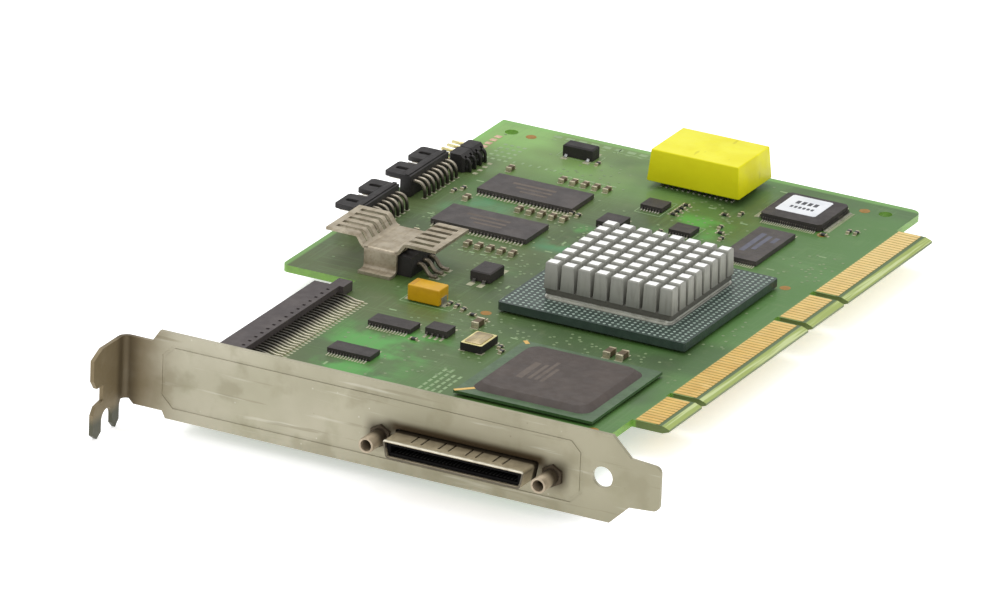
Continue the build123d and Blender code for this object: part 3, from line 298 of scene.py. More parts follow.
def join(pieces):
    """Makes several pieces one object."""
    rest()
    for piece in pieces:
        piece.select_set(True)
    bpy.context.view_layer.objects.active = pieces[0]
    bpy.ops.object.join()
    return bpy.context.object


def twin(obj):
    """Copy with its own mesh."""
    pick(obj)
    bpy.ops.object.duplicate(linked=False)
    return bpy.context.object


def turned(obj, degrees, x, y):
    """Turns a piece about the vertical and moves it."""
    obj.rotation_euler = (0, 0, math.radians(degrees))
    obj.location = (x * MM, y * MM, 0)
    return settle(obj)


def ribbon(width, thickness, path):
    """Strip of sheet along a path of (outward, height) points, bent at each."""
    rest()
    bpy.ops.mesh.primitive_plane_add(size=MM)
    strip = bpy.context.object
    strip.scale = (width, 1, 1)
    settle(strip)
    for (y, z), side in zip(path[:2], SIDES):
        choose(strip, 'EDGE', lambda middle, way: abs(way.x) > 0.9 and (middle.y - side / 2) ** 2 < 1e-6)
        bpy.ops.transform.translate(value=(0, (y - side / 2) * MM, z * MM))
        rest()
    y1, z1 = path[1]
    choose(strip, 'EDGE', lambda middle, way: (middle - Vector((0, y1, z1))).length < 1e-4)
    for (ya, za), (yb, zb) in zip(path[1:], path[2:]):
        bpy.ops.mesh.extrude_region_move(
            TRANSFORM_OT_translate={"value": (0, (yb - ya) * MM, (zb - za) * MM)})
    rest()
    wall = strip.modifiers.new("wall", 'SOLIDIFY')
    wall.thickness = thickness * MM
    wall.offset = -1
    return apply_all(strip)


def dress(obj, name, finish, slot, *nodes):
    """Names a finished piece, gives it its material and fixes it to the card."""
    obj.name = name
    obj.data.name = name
    obj.data.materials.clear()
    obj.data.materials.append(FINISHES[finish])
    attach(obj, "root")
    if nodes:
        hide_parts(*nodes)
    rest()
    return obj


# Shared shader groups

def new_group(name, **values):
    """Shader group that takes a vector and named values, and puts out a mask."""
    group = bpy.data.node_groups.new(name, 'ShaderNodeTree')
    sockets = group.interface
    sockets.new_socket(name="Vector", in_out='INPUT', socket_type='NodeSocketVector')
    for label, value in values.items():
        kind = 'NodeSocketFloat' if isinstance(value, float) else 'NodeSocketVector'
        sockets.new_socket(name=label, in_out='INPUT', socket_type=kind).default_value = value
    sockets.new_socket(name="Mask", in_out='OUTPUT', socket_type='NodeSocketFloat')
    return group, group.nodes.new('NodeGroupInput'), group.nodes.new('NodeGroupOutput')


def put_out(group, outside, value):
    """Puts out a value as a mask with soft limits, and gives the node that sets them."""
    spread = group.nodes.new('ShaderNodeMapRange')
    spread.interpolation_type = 'SMOOTHSTEP'
    group.links.new(value, spread.inputs['Value'])
    group.links.new(spread.outputs['Result'], outside.inputs["Mask"])
    return spread


def make_patches():
    """Soft-edged patches of noise between two limits."""
    group, inside, outside = new_group("patches", Scale=60.0, Detail=4.0, Low=0.4, High=0.6)
    noise = group.nodes.new('ShaderNodeTexNoise')
    for label in ("Vector", "Scale", "Detail"):
        group.links.new(inside.outputs[label], noise.inputs[label])
    spread = put_out(group, outside, noise.outputs['Fac'])
    group.links.new(inside.outputs["Low"], spread.inputs['From Min'])
    group.links.new(inside.outputs["High"], spread.inputs['From Max'])
    return group


def make_streaks():
    """Long thin marks along one axis, from stretched noise."""
    group, inside, outside = new_group("streaks", Stretch=(1, 1, 1), Scale=900.0, Low=0.5, High=0.7)
    pull = group.nodes.new('ShaderNodeVectorMath')
    pull.operation = 'MULTIPLY'
    noise = group.nodes.new('ShaderNodeTexNoise')
    noise.inputs['Detail'].default_value = 3.0
    group.links.new(inside.outputs["Vector"], pull.inputs[0])
    group.links.new(inside.outputs["Stretch"], pull.inputs[1])
    group.links.new(pull.outputs[0], noise.inputs['Vector'])
    group.links.new(inside.outputs["Scale"], noise.inputs['Scale'])
    spread = put_out(group, outside, noise.outputs['Fac'])
    group.links.new(inside.outputs["Low"], spread.inputs['From Min'])
    group.links.new(inside.outputs["High"], spread.inputs['From Max'])
    return group


def make_specks():
    """Small round specks scattered in cells."""
    group, inside, outside = new_group("specks", Scale=400.0, Size=0.12)
    cells = group.nodes.new('ShaderNodeTexVoronoi')
    for label in ("Vector", "Scale"):
        group.links.new(inside.outputs[label], cells.inputs[label])
    spread = put_out(group, outside, cells.outputs['Distance'])
    spread.inputs['From Min'].default_value = 0.0
    spread.inputs['To Min'].default_value = 1.0
    spread.inputs['To Max'].default_value = 0.0
    group.links.new(inside.outputs["Size"], spread.inputs['From Max'])
    return group


PATCHES = make_patches()
STREAKS = make_streaks()
SPECKS = make_specks()


# Materials

def tone(red, green, blue):
    """Colour seen on a screen, 0 to 255, as the linear one that a shader takes."""
    return tuple(((v / 255 + 0.055) / 1.055) ** 2.4 if v > 10 else v / 255 / 12.92
                 for v in (red, green, blue)) + (1.0,)


class Finish:
    """One material under construction: a shader, its coordinates, and layers of colour."""

    def __init__(self, name, colour, rough=0.5, metallic=0.0, coat=0.0, specular=0.5):
        self.material = bpy.data.materials.new(name)
        self.material.use_nodes = True
        self.tree = self.material.node_tree
        self.tree.nodes.clear()
        out = self.tree.nodes.new('ShaderNodeOutputMaterial')
        self.shader = self.tree.nodes.new('ShaderNodeBsdfPrincipled')
        self.tree.links.new(self.shader.outputs[0], out.inputs['Surface'])
        self.coords = self.tree.nodes.new('ShaderNodeTexCoord').outputs
        self.shader.inputs['Base Color'].default_value = colour
        self.shader.inputs['Roughness'].default_value = rough
        self.shader.inputs['Metallic'].default_value = metallic
        self.shader.inputs['Coat Weight'].default_value = coat
        self.shader.inputs['Coat Roughness'].default_value = 0.15
        self.shader.inputs['Specular IOR Level'].default_value = specular
        self.colour = colour
        self.rough = rough
        self.heights = []

    def node(self, kind, **settings):
        """New node with its settings."""
        made = self.tree.nodes.new(kind)
        for key, value in settings.items():
            setattr(made, key, value)
        return made

    def group(self, tree, **values):
        """Placed shader group reading object coordinates."""
        made = self.node('ShaderNodeGroup', node_tree=tree)
        self.tree.links.new(self.coords['Object'], made.inputs['Vector'])
        for key, value in values.items():
            made.inputs[key].default_value = value
        return made.outputs["Mask"]

    def patches(self, scale, low=0.4, high=0.6, detail=4.0):
        """Mask of soft patches, as many to the metre as the scale says."""
        return self.group(PATCHES, Scale=scale, Low=low, High=high, Detail=detail)

    def streaks(self, stretch, scale, low, high):
        """Mask of streaks, long along the axis whose stretch is small."""
        return self.group(STREAKS, Stretch=stretch, Scale=scale, Low=low, High=high)

    def specks(self, scale, size):
        """Mask of round specks, one to a cell, with their size as a share of it."""
        return self.group(SPECKS, Scale=scale, Size=size)

    def math(self, operation, a, b):
        """Result of an operation on two values, kept between 0 and 1."""
        made = self.node('ShaderNodeMath', operation=operation, use_clamp=True)
        for socket, value in zip(made.inputs, (a, b)):
            self.put(value, socket)
        return made.outputs[0]

    def both(self, a, b):
        """Mask of what two masks share."""
        return self.math('MULTIPLY', a, b)

    def put(self, value, socket):
        """Links a value that changes over the surface, or sets one that doesn't."""
        if hasattr(value, "is_linked"):
            self.tree.links.new(value, socket)
        else:
            socket.default_value = value

    def layer(self, colour, mask, amount=1.0):
        """Lays a colour over what is there, where the mask says."""
        mix = self.node('ShaderNodeMix', data_type='RGBA')
        self.put(self.both(mask, amount), mix.inputs[0])
        self.put(self.colour, mix.inputs[6])
        self.put(colour, mix.inputs[7])
        self.colour = mix.outputs[2]

    def gloss(self, rough, mask):
        """Changes the roughness where the mask says."""
        mix = self.node('ShaderNodeMix', data_type='FLOAT')
        self.put(mask, mix.inputs[0])
        self.put(self.rough, mix.inputs[2])
        self.put(rough, mix.inputs[3])
        self.rough = mix.outputs[0]

    def relief(self, mask, depth):
        """Raises the surface by a depth in mm where the mask says."""
        self.heights.append((mask, depth))

    def place_mask(self, axis, low, high, space='Object'):
        """Rises from 0 to 1 between two places along an axis, in mm, or two parts of a normal."""
        unit = MM if space == 'Object' else 1.0
        split = self.node('ShaderNodeSeparateXYZ')
        self.tree.links.new(self.coords[space], split.inputs[0])
        spread = self.node('ShaderNodeMapRange', interpolation_type='SMOOTHSTEP')
        self.tree.links.new(split.outputs[axis], spread.inputs['Value'])
        spread.inputs['From Min'].default_value = low * unit
        spread.inputs['From Max'].default_value = high * unit
        return spread.outputs['Result']

    def fall_mask(self, axis, low, high, space='Object'):
        """Falls from 1 to 0 between two such places."""
        return self.math('SUBTRACT', 1.0, self.place_mask(axis, low, high, space))

    def span_mask(self, axis, left, right):
        """Rises between the first two places along an axis and falls between the last two."""
        return self.both(self.place_mask(axis, *left), self.fall_mask(axis, *right))

    def box_mask(self, left, right, height):
        """Full between two soft limits along X and within a soft band of Z, in mm."""
        low, high = height
        middle, half_band = (low + high) / 2, 0.3
        band = self.span_mask('Z', (low, middle - half_band), (middle + half_band, high))
        return self.both(self.span_mask('X', left, right), band)

    def area_mask(self, x, y, half_x, half_y):
        """Patchy area about a place on the board, fading out towards its half widths, in mm."""
        full = 0.4
        across = self.span_mask('X', (x - half_x, x - half_x * full), (x + half_x * full, x + half_x))
        along = self.span_mask('Y', (y - half_y, y - half_y * full), (y + half_y * full, y + half_y))
        return self.both(self.both(across, along), self.patches(95, 0.42, 0.6))

    def done(self):
        """Connects the layers to the shader and gives the material."""
        self.put(self.colour, self.shader.inputs['Base Color'])
        self.put(self.rough, self.shader.inputs['Roughness'])
        normal = None
        for mask, depth in self.heights:
            bump = self.node('ShaderNodeBump')
            bump.inputs['Strength'].default_value = 1.0
            bump.inputs['Distance'].default_value = depth * MM
            self.put(mask, bump.inputs['Height'])
            if normal:
                self.put(normal, bump.inputs['Normal'])
            normal = bump.outputs[0]
        if normal:
            self.put(normal, self.shader.inputs['Normal'])
        return self.material


def moulding(name, colour, dust, grain=0.012, specular=0.45):
    """Moulded chip plastic: fine grain, faint mottling and dust."""
    made = Finish(name, colour, rough=0.5, specular=specular)
    made.layer(dust, made.patches(240, 0.35, 0.8), 0.35)
    made.layer(dust, made.specks(900, 0.16), 0.35)
    made.gloss(0.66, made.patches(500, 0.3, 0.7))
    made.relief(made.patches(6000, 0.2, 0.8, 2.0), grain)
    return made.done()


def board_tints(made):
    """Broad tints and dark pours of the board, and its bright areas beside some chips."""
    made.layer(tone(78, 128, 56), made.place_mask('X', 50, 105), 0.75)
    far_corner = made.both(made.place_mask('Y', 138, 166), made.fall_mask('X', 36, 80))
    made.layer(tone(146, 194, 104), far_corner, 0.75)
    near_corner = made.both(made.fall_mask('X', 12, 34), made.fall_mask('Y', 95, 118))
    made.layer(tone(62, 70, 32), near_corner, 0.38)
    brown = made.both(made.fall_mask('X', 25, 62), made.patches(32, 0.38, 0.6, 3.0))
    made.layer(tone(90, 96, 52), brown, 0.55)
    made.layer(tone(54, 72, 38), made.patches(26, 0.46, 0.64, 3.0), 0.6)
    made.layer(tone(80, 130, 58), made.patches(42, 0.56, 0.66, 3.0), 0.4)
    for place in ((38, 49, 16, 12), (39, 30, 14, 12), (46, 122, 8, 9), (62, 141, 9, 8)):
        made.layer(tone(80, 164, 66), made.area_mask(*place), 0.8)
    for x, y in ((19, 127), (45, 118)):
        made.layer(tone(64, 136, 88), made.area_mask(x, y, 9, 8), 0.7)


def board_traces(made):
    """Faint raised runs of traces both ways, and a painted shade on the board in front of the lidded
    chip.
    """
    for stretch, spread in (((1, 0.02, 1), 90), ((0.02, 1, 1), 70)):
        lines = made.streaks(stretch, 1500, 0.52, 0.58)
        runs = made.both(lines, made.patches(spread, 0.5, 0.56, 2.0))
        made.layer(tone(108, 142, 84), runs, 0.16)
        made.relief(runs, 0.006)
    # painted shade on the board in front of the lidded chip
    shade = made.both(made.span_mask('Y', (64, 70), (82, 88)), made.place_mask('X', 48, 60))
    made.layer(tone(40, 62, 24), shade, 0.45)


def board_edges(made):
    """Pale borders and rim of the board, its bevelled tongue, and its cut edge, with painted shade on
    the cut edges of the tongue and its keyways.
    """
    border = made.math('ADD', made.fall_mask('X', 0.8, 1.5), made.place_mask('Y', 172.6, 173.6))
    made.layer(tone(128, 186, 92), border, 0.55)
    made.layer(tone(150, 164, 96), made.place_mask('X', SHOULDER + 0.2, SHOULDER + 0.9), 0.6)
    made.layer(tone(58, 84, 44), made.place_mask('X', BEVEL, BEVEL + 0.2), 0.8)
    rim = made.place_mask('X', BEVEL + 1.3, BEVEL + 1.7)
    made.layer(tone(166, 182, 92), rim, 0.8)
    made.layer(tone(214, 224, 168), made.both(rim, made.streaks((1, 0.03, 1), 900, 0.5, 0.6)), 0.6)
    cut_edge = made.math('SUBTRACT', made.fall_mask('Z', 0.5, 0.6, 'Normal'),
                         made.fall_mask('Z', -0.6, -0.5, 'Normal'))
    made.layer(tone(122, 172, 62), cut_edge, 0.8)
    made.layer(tone(104, 140, 62), made.both(cut_edge, made.patches(500, 0.4, 0.6)), 0.5)
    # painted shade on the cut edges of the tongue and its keyways
    made.layer(tone(84, 92, 48), made.both(cut_edge, made.place_mask('X', 98.9, 99.6)), 0.85)


def board_finish():
    """Green mask over copper, with dust in specks and patches."""
    made = Finish("board_mask", tone(72, 100, 44), rough=0.42, coat=0.2, specular=0.5)
    board_tints(made)
    board_traces(made)
    made.layer(tone(120, 140, 96), made.specks(520, 0.13), 0.3)
    made.layer(tone(140, 140, 104), made.patches(300, 0.55, 0.9), 0.25)
    made.gloss(0.6, made.patches(60, 0.3, 0.7))
    board_edges(made)
    return made.done()


def bracket_grime_and_shade(made):
    """Grime and painted shade round the port and its posts, painted shade in the tab's inner bend, and
    browning of the folded tab, partly painted shade on its inner face.
    """
    grime_and_shade, brown = tone(66, 54, 34), tone(118, 102, 72)
    port = PORT[0]
    # dark band over the port: grime and painted shade where the shell meets the bracket
    over_port = made.box_mask((port - 18.6, port - 15.6), (port + 15.9, port + 18.4), (3.6, 7.4))
    made.layer(tone(70, 56, 34), over_port)
    for post in (port + side * JACK_SPACING / 2 for side in SIDES):
        # grime and painted shade round the foot of each post
        ring = made.box_mask((post - 4.4, post - 1.4), (post + 1.4, post + 4.4), (-1.2, 7.6))
        made.layer(grime_and_shade, ring, 0.95)
    # browning of the tab, partly painted shade on its inner face
    made.layer(brown, made.both(made.fall_mask('X', 8, 21), made.patches(90, 0.1, 0.55)), 0.8)
    made.layer(brown, made.fall_mask('X', 5.5, 13), 0.42)
    # painted shade in the inner corner of the bend
    inner_bend = made.both(made.fall_mask('X', 6.6, 10), made.place_mask('Y', -3.6, -1.4))
    made.layer(grime_and_shade, inner_bend, 0.62)
    low_end = made.both(made.fall_mask('X', 6.2, 7.5), made.fall_mask('Z', -4, -1.5))
    made.layer(tone(66, 70, 58), low_end, 0.85)


def bracket_finish():
    """Dull nickel plate: clouded and scratched, with specks of dirt and painted specks of shine."""
    made = Finish("nickel_plate", tone(186, 181, 161), rough=0.46, metallic=0.5)
    made.layer(tone(146, 140, 114), made.place_mask('X', 30, 80), 0.58)
    made.layer(tone(160, 156, 132), made.patches(45, 0.4, 0.7), 0.6)
    made.layer(tone(136, 130, 104), made.patches(110, 0.52, 0.66, 6.0), 0.4)
    made.layer(tone(154, 150, 124), made.patches(160, 0.55, 0.75), 0.45)
    made.layer(tone(214, 211, 196), made.streaks((0.06, 1, 1), 700, 0.6, 0.7), 0.35)
    made.layer(tone(138, 132, 108), made.streaks((0.07, 1, 1.3), 520, 0.62, 0.68), 0.45)
    # painted glints: pale specks of shine
    made.layer(tone(226, 224, 212), made.specks(330, 0.09), 0.5)
    made.layer(tone(120, 112, 88), made.specks(210, 0.06), 0.5)
    made.layer(tone(150, 146, 120), made.place_mask('X', 103, 118), 0.3)
    bracket_grime_and_shade(made)
    made.gloss(0.6, made.patches(70, 0.35, 0.65))
    made.relief(made.patches(900, 0.3, 0.7), 0.01)
    made.relief(made.streaks((0.05, 1, 1), 2500, 0.4, 0.7), 0.004)
    return made.done()


def plated(name, colour, shade, rough=0.35, metallic=0.9, streak=(1, 1, 0.1)):
    """Plated or tinned metal with faint streaks and dull spots."""
    made = Finish(name, colour, rough=rough, metallic=metallic)
    made.layer(shade, made.patches(350, 0.35, 0.75), 0.6)
    made.layer(shade, made.streaks(streak, 2200, 0.5, 0.75), 0.4)
    made.gloss(min(rough + 0.22, 1.0), made.patches(800, 0.35, 0.7))
    made.relief(made.patches(3000, 0.3, 0.7), 0.003)
    return made.done()


def gold_finish():
    """Gold fingers: worn across by the slot's springs."""
    made = Finish("contact_gold", tone(232, 192, 110), rough=0.4, metallic=0.45)
    made.layer(tone(206, 160, 84), made.patches(260, 0.4, 0.7), 0.4)
    made.layer(tone(252, 228, 166), made.place_mask('Y', 70, 160), 0.5)
    made.layer(tone(248, 226, 172), made.streaks((0.08, 1, 1), 2600, 0.55, 0.7), 0.5)
    made.gloss(0.5, made.patches(500, 0.4, 0.7))
    return made.done()


def sink_finish():
    """Bare aluminium with upright streaks on its greyer sides; a painted highlight, partly a rubbed
    finish, whitens the tops; painted shade darkens the pins low down and the base.
    """
    made = Finish("cast_aluminium", tone(158, 158, 150), rough=0.45, metallic=0.4)
    made.layer(tone(120, 120, 112), made.streaks((1, 1, 0.12), 1500, 0.45, 0.7), 0.4)
    # lighter up the pins and darker low down: painted shade deep in the slots between the pins
    made.layer(tone(176, 176, 168), made.place_mask('Z', 6.0, 9.0), 0.35)
    made.layer(tone(110, 110, 102), made.fall_mask('Z', 4.4, 6.5), 0.35)
    # painted shade on the base under the pins, partly its own darker colour
    made.layer(tone(74, 72, 62), made.fall_mask('Z', 4.3, 4.45), 0.75)
    # painted highlight whitening the pin tops, partly a rubbed finish
    top = made.both(made.place_mask('Z', 0.93, 0.97, 'Normal'), made.place_mask('Z', 9.0, 9.8))
    made.layer(tone(255, 255, 253), top)
    made.gloss(0.55, made.patches(900, 0.4, 0.7))
    made.relief(made.streaks((1, 1, 0.15), 3000, 0.4, 0.7), 0.006)
    return made.done()


def lip_finish():
    """Bright rolled edge of the port, with painted shade darkening its sides and lower part so that only
    the top stays bright.
    """
    made = Finish("bright_lip", tone(216, 210, 192), rough=0.34, metallic=0.7)
    made.layer(tone(150, 140, 120), made.patches(500, 0.4, 0.7), 0.4)
    # painted shade on the sides and lower part of the lip
    made.layer(tone(70, 62, 48), made.fall_mask('Z', PORT[1] + 1.35, PORT[1] + 1.75), 0.9)
    made.gloss(0.5, made.patches(900, 0.35, 0.7))
    return made.done()


def grimy_and_shaded(name, colour, shade, back):
    """Plate that darkens towards the bracket, with grime and painted shade where it meets the bracket.
    """
    made = Finish(name, colour, rough=0.42, metallic=0.7)
    made.layer(shade, made.patches(350, 0.35, 0.75), 0.5)
    made.layer(shade, made.streaks((1, 0.2, 1), 2200, 0.5, 0.75), 0.3)
    # grime and painted shade towards the bracket
    made.layer(tone(50, 39, 24), made.place_mask('Y', *back), 0.92)
    made.gloss(0.6, made.patches(800, 0.35, 0.7))
    made.relief(made.patches(3000, 0.3, 0.7), 0.003)
    return made.done()


def pin_finish():
    """Bent header pins: bright along the top of the bend, with painted shade darkening them down at the
    board.
    """
    made = Finish("header_pin_plate", tone(172, 164, 148), rough=0.32, metallic=0.75)
    made.layer(tone(96, 88, 76), made.patches(400, 0.35, 0.7), 0.5)
    # painted shade low on the pins, near the board
    made.layer(tone(44, 40, 36), made.fall_mask('Z', 1.2, 3.3), 0.9)
    made.gloss(0.5, made.patches(800, 0.35, 0.7))
    return made.done()


def lead_finish(name, axis, low, high, dark, bright):
    """Thin tinned leads: painted shade darkens them towards the body; bright where they are soldered."""
    made = Finish(name, bright, rough=0.34, metallic=0.6)
    near = made.place_mask(axis, low, high) if axis == 'Z' else made.fall_mask(axis, low, high)
    # painted shade on the leads near the body
    made.layer(dark, near, 0.95)
    made.layer(tone(120, 112, 98), made.patches(900, 0.45, 0.7), 0.4)
    made.gloss(0.55, made.patches(800, 0.35, 0.7))
    return made.done()


def yellow_finish():
    """Bright moulded shell: slight orange peel, rubbed and marked, with painted highlights on its top
    and on its side that faces +X.
    """
    made = Finish("yellow_moulding", tone(238, 232, 26), rough=0.46, specular=0.25)
    # painted highlight on the faces turned towards +X
    made.layer(tone(255, 248, 0), made.place_mask('X', 0.5, 0.7, 'Normal'), 0.7)
    # painted highlight on the upward faces
    made.layer(tone(240, 236, 88), made.place_mask('Z', 0.8, 0.95, 'Normal'), 0.6)
    made.layer(tone(226, 214, 12), made.patches(120, 0.4, 0.7), 0.5)
    made.layer(tone(176, 162, 30), made.streaks((1, 0.3, 0.12), 600, 0.66, 0.75), 0.35)
    made.layer(tone(150, 140, 40), made.specks(260, 0.05), 0.5)
    made.gloss(0.58, made.patches(400, 0.4, 0.7))
    made.relief(made.patches(1800, 0.3, 0.7, 2.0), 0.012)
    return made.done()


def plain(name, colour, shade, rough=0.5, coat=0.0, scale=400, grain=0.006, metallic=0.0):
    """Painted, printed or moulded surface with slight variation."""
    made = Finish(name, colour, rough=rough, coat=coat, metallic=metallic)
    made.layer(shade, made.patches(scale, 0.4, 0.7), 0.5)
    made.layer(shade, made.specks(scale * 2, 0.1), 0.35)
    made.gloss(min(rough + 0.15, 1.0), made.patches(scale * 1.7, 0.4, 0.7))
    made.relief(made.patches(scale * 8, 0.3, 0.7, 2.0), grain)
    return made.done()


FINISHES = {
    "board": board_finish(),
    "bracket": bracket_finish(),
    "gold": gold_finish(),
    "tin": plated("tinned_leads", tone(214, 214, 208), tone(150, 148, 140), 0.3),
    "solder": plated("solder", tone(222, 224, 224), tone(168, 170, 168), 0.25, 0.85, (1, 1, 1)),
    "shell": grimy_and_shaded("shell_plate", tone(186, 174, 148), tone(140, 126, 100), (-1.7, -0.8)),
    "lip": lip_finish(),
    "jack": grimy_and_shaded("jack_plate", tone(184, 170, 148), tone(120, 106, 84), (-5.0, -2.2)),
    "lid": plated("lid_nickel", tone(204, 204, 194), tone(170, 170, 160), 0.28, 0.8, (1, 1, 1)),
    "can": plated("can_lid", tone(206, 190, 150), tone(150, 132, 96), 0.3, 0.8, (1, 0.2, 1)),
    "spreader": plated("dull_tin", tone(186, 176, 156), tone(126, 110, 86), 0.4, 0.7, (1, 0.1, 1)),
    "pins": plated("bronze_pins", tone(150, 140, 122), tone(74, 66, 56), 0.3, 0.8, (1, 1, 0.2)),
    "header_pins": pin_finish(),
    "pads": plated("pad_tin", tone(182, 182, 154), tone(128, 130, 100), 0.5, 0.35, (1, 1, 1)),
    # painted shade: dark copy of pin metal for pins that lie in shade
    "shaded_pins": plated("shaded_pins", tone(56, 54, 52), tone(30, 30, 30), 0.4, 0.5, (1, 1, 0.2)),
    "leads": lead_finish("thin_leads", 'Z', 0.13, 0.3, tone(34, 32, 29), tone(212, 208, 194)),
    "inner_leads": lead_finish("long_leads", 'X', 20.0, 23.0, tone(28, 25, 22), tone(226, 218, 194)),
    "cap_ends": plated("dull_ends", tone(204, 196, 168), tone(140, 130, 104), 0.42, 0.5, (1, 1, 1)),
    "via": plain("via_rings", tone(122, 142, 100), tone(98, 120, 80), 0.45),
    "blush": plain("bare_pads", tone(208, 178, 152), tone(176, 140, 112), 0.45, 0.0, 500, 0.004, 0.2),
    "gilt": plated("gilt_pins", tone(238, 228, 168), tone(196, 176, 108), 0.3, 0.4, (0.2, 1, 1)),
    "heat_sink": sink_finish(),
    "yellow": yellow_finish(),
    "chip": moulding("chip_moulding", tone(70, 65, 64), tone(104, 96, 92)),
    "cap": moulding("cap_moulding", tone(72, 63, 58), tone(98, 86, 78)),
    "black": moulding("black_moulding", tone(34, 31, 31), tone(62, 57, 54)),
    "dark_chip": moulding("dark_chip_moulding", tone(54, 49, 48), tone(84, 77, 74)),
    "inner": moulding("inner_moulding", tone(74, 67, 67), tone(106, 98, 94)),
    # near black and dull: black moulding, partly painted shade inside the port's mouth
    "deep": moulding("insert_moulding", tone(12, 11, 12), tone(24, 22, 20), 0.004, 0.06),
    "substrate": plain("dark_substrate", tone(46, 62, 56), tone(62, 80, 70), 0.4, 0.2),
    "green_substrate": plain("green_substrate", tone(58, 88, 50), tone(80, 112, 68), 0.35, 0.3),
    "dots": plain("pale_dots", tone(158, 176, 164), tone(120, 142, 128), 0.4),
    "tantalum": plain("tantalum_resin", tone(214, 164, 4), tone(196, 146, 2), 0.36, 0.1),
    "band": plain("tantalum_band", tone(194, 142, 6), tone(176, 124, 4), 0.38, 0.1),
    "ceramic": plain("chip_ceramic", tone(96, 80, 56), tone(72, 60, 42), 0.5),
    "resistor": plain("resistor_glaze", tone(44, 44, 46), tone(70, 68, 68), 0.35),
    "paper": plain("label_paper", tone(232, 234, 238), tone(206, 210, 216), 0.6, 0.0, 250, 0.004),
    "ink": plain("label_ink", tone(70, 72, 78), tone(100, 100, 104), 0.6),
    "print": plain("board_print", tone(142, 166, 122), tone(108, 136, 90), 0.6),
    "faint": plain("chip_print", tone(100, 89, 80), tone(80, 72, 67), 0.6),
    "blue_print": plain("pale_blue_print", tone(97, 98, 112), tone(84, 84, 96), 0.6),
    "copper": plain("bare_copper", tone(166, 118, 46), tone(122, 104, 44), 0.4, 0.0, 700, 0.004, 0.3),
}

CAD_FINISHES = {
    "circuit_board": "board", "edge_contacts_top": "gold", "edge_contacts_bottom": "gold",
    "mounting_bracket": "bracket", "port_shell": "shell", "port_insert": "deep",
    "port_housing": "black", "inner_connector_body": "inner",
    "processor_substrate": "substrate", "heat_sink": "heat_sink",
    "interface_substrate": "green_substrate", "memory_bodies": "chip", "flash_body": "chip",
    "logic_chip_body": "dark_chip", "chip_label": "paper", "clock_chip_body": "black",
    "transceiver_bodies": "dark_chip", "small_chip_bodies": "dark_chip", "oscillator_body": "black",
    "tantalum_terminals": "tin", "regulator_body": "black", "regulator_tab": "tin",
    "heat_spreader": "spreader", "pin_strip_bodies": "black",
    "block_body": "black", "switch_body": "dark_chip",
}


def dress_cad():
    """Gives the CAD pieces that stay their finished materials."""
    for node, finish in CAD_FINISHES.items():
        part = bpy.data.objects[node]
        for place in part.material_slots:
            place.material = FINISHES[finish]


# Leads and pins

def bend(outward, down, foot, exit_height):
    """Path of a gull-wing lead from the body's side to the end of its foot."""
    knee = outward - foot
    return ((0, exit_height), (knee * 0.35, exit_height), (knee * 0.7, exit_height * 0.8),
            (knee, down), (outward, down))


def lead_rows(line, places, half, reach, width, thickness, exit_height, foot, turns=(0, 180)):
    """Rows of gull-wing leads on two or four sides of chips, where half is half a body's depth."""
    lead = ribbon(width, thickness, bend(reach, thickness, foot, exit_height))
    count, pitch = line
    lead = row(lead, count, (pitch, 0, 0))
    lead.location.y = half * MM
    return stamp(settle(lead), [(x, y, 0, turn) for x, y in places for turn in turns])


def dress_leads(obj, name, node, finish="leads"):
    """Smooths bent metal, names it and gives it its plating."""
    return dress(finish_mesh(obj, BEND_ANGLE), name, finish, "tinned", node)


def build_leads():
    """Leads of the moulded chips."""
    memory = lead_rows(MEMORY_LINE, MEMORIES, half=5.08, reach=0.8, width=0.34,
                       thickness=0.13, exit_height=0.6, foot=0.4)
    dress_leads(memory, "memory_lead_rows", "memory_leads")
    flash = lead_rows(FLASH_LINE, (FLASH,), half=9.2, reach=0.8, width=0.22,
                      thickness=0.12, exit_height=0.6, foot=0.4)
    dress_leads(flash, "flash_lead_rows", "flash_leads")
    logic = lead_rows(LOGIC_LINE, (LOGIC,), half=7.0, reach=1.0, width=0.22,
                      thickness=0.14, exit_height=0.8, foot=0.5, turns=(0, 90, 180, 270))
    dress_leads(logic, "logic_lead_rows", "logic_chip_leads")
    clock = lead_rows(CLOCK_LINE, (CLOCK,), half=4.3, reach=1.65, width=0.42,
                      thickness=0.25, exit_height=1.2, foot=0.8)
    dress_leads(clock, "clock_lead_rows", "clock_chip_leads")
    slim = {"half": 2.2, "reach": 0.95, "width": 0.26, "thickness": 0.13,
            "exit_height": 0.55, "foot": 0.5}
    bus = lead_rows(BUS_LINE, TRANSCEIVERS, **slim)
    dress_leads(bus, "transceiver_lead_rows", "transceiver_leads")
    flat = lead_rows(FLAT_LINE, FLAT_CHIPS, **slim)
    small = {"reach": 0.98, "width": 0.42, "thickness": 0.2, "exit_height": 0.7, "foot": 0.45}
    narrow = lead_rows(SMALL_LINE, (NARROW_CHIP,), half=1.95, **small)
    broad = lead_rows(SMALL_LINE, (BROAD_CHIP,), half=2.65, **small)
    dress_leads(join([narrow, broad, flat]), "small_chip_lead_rows", "small_chip_leads")


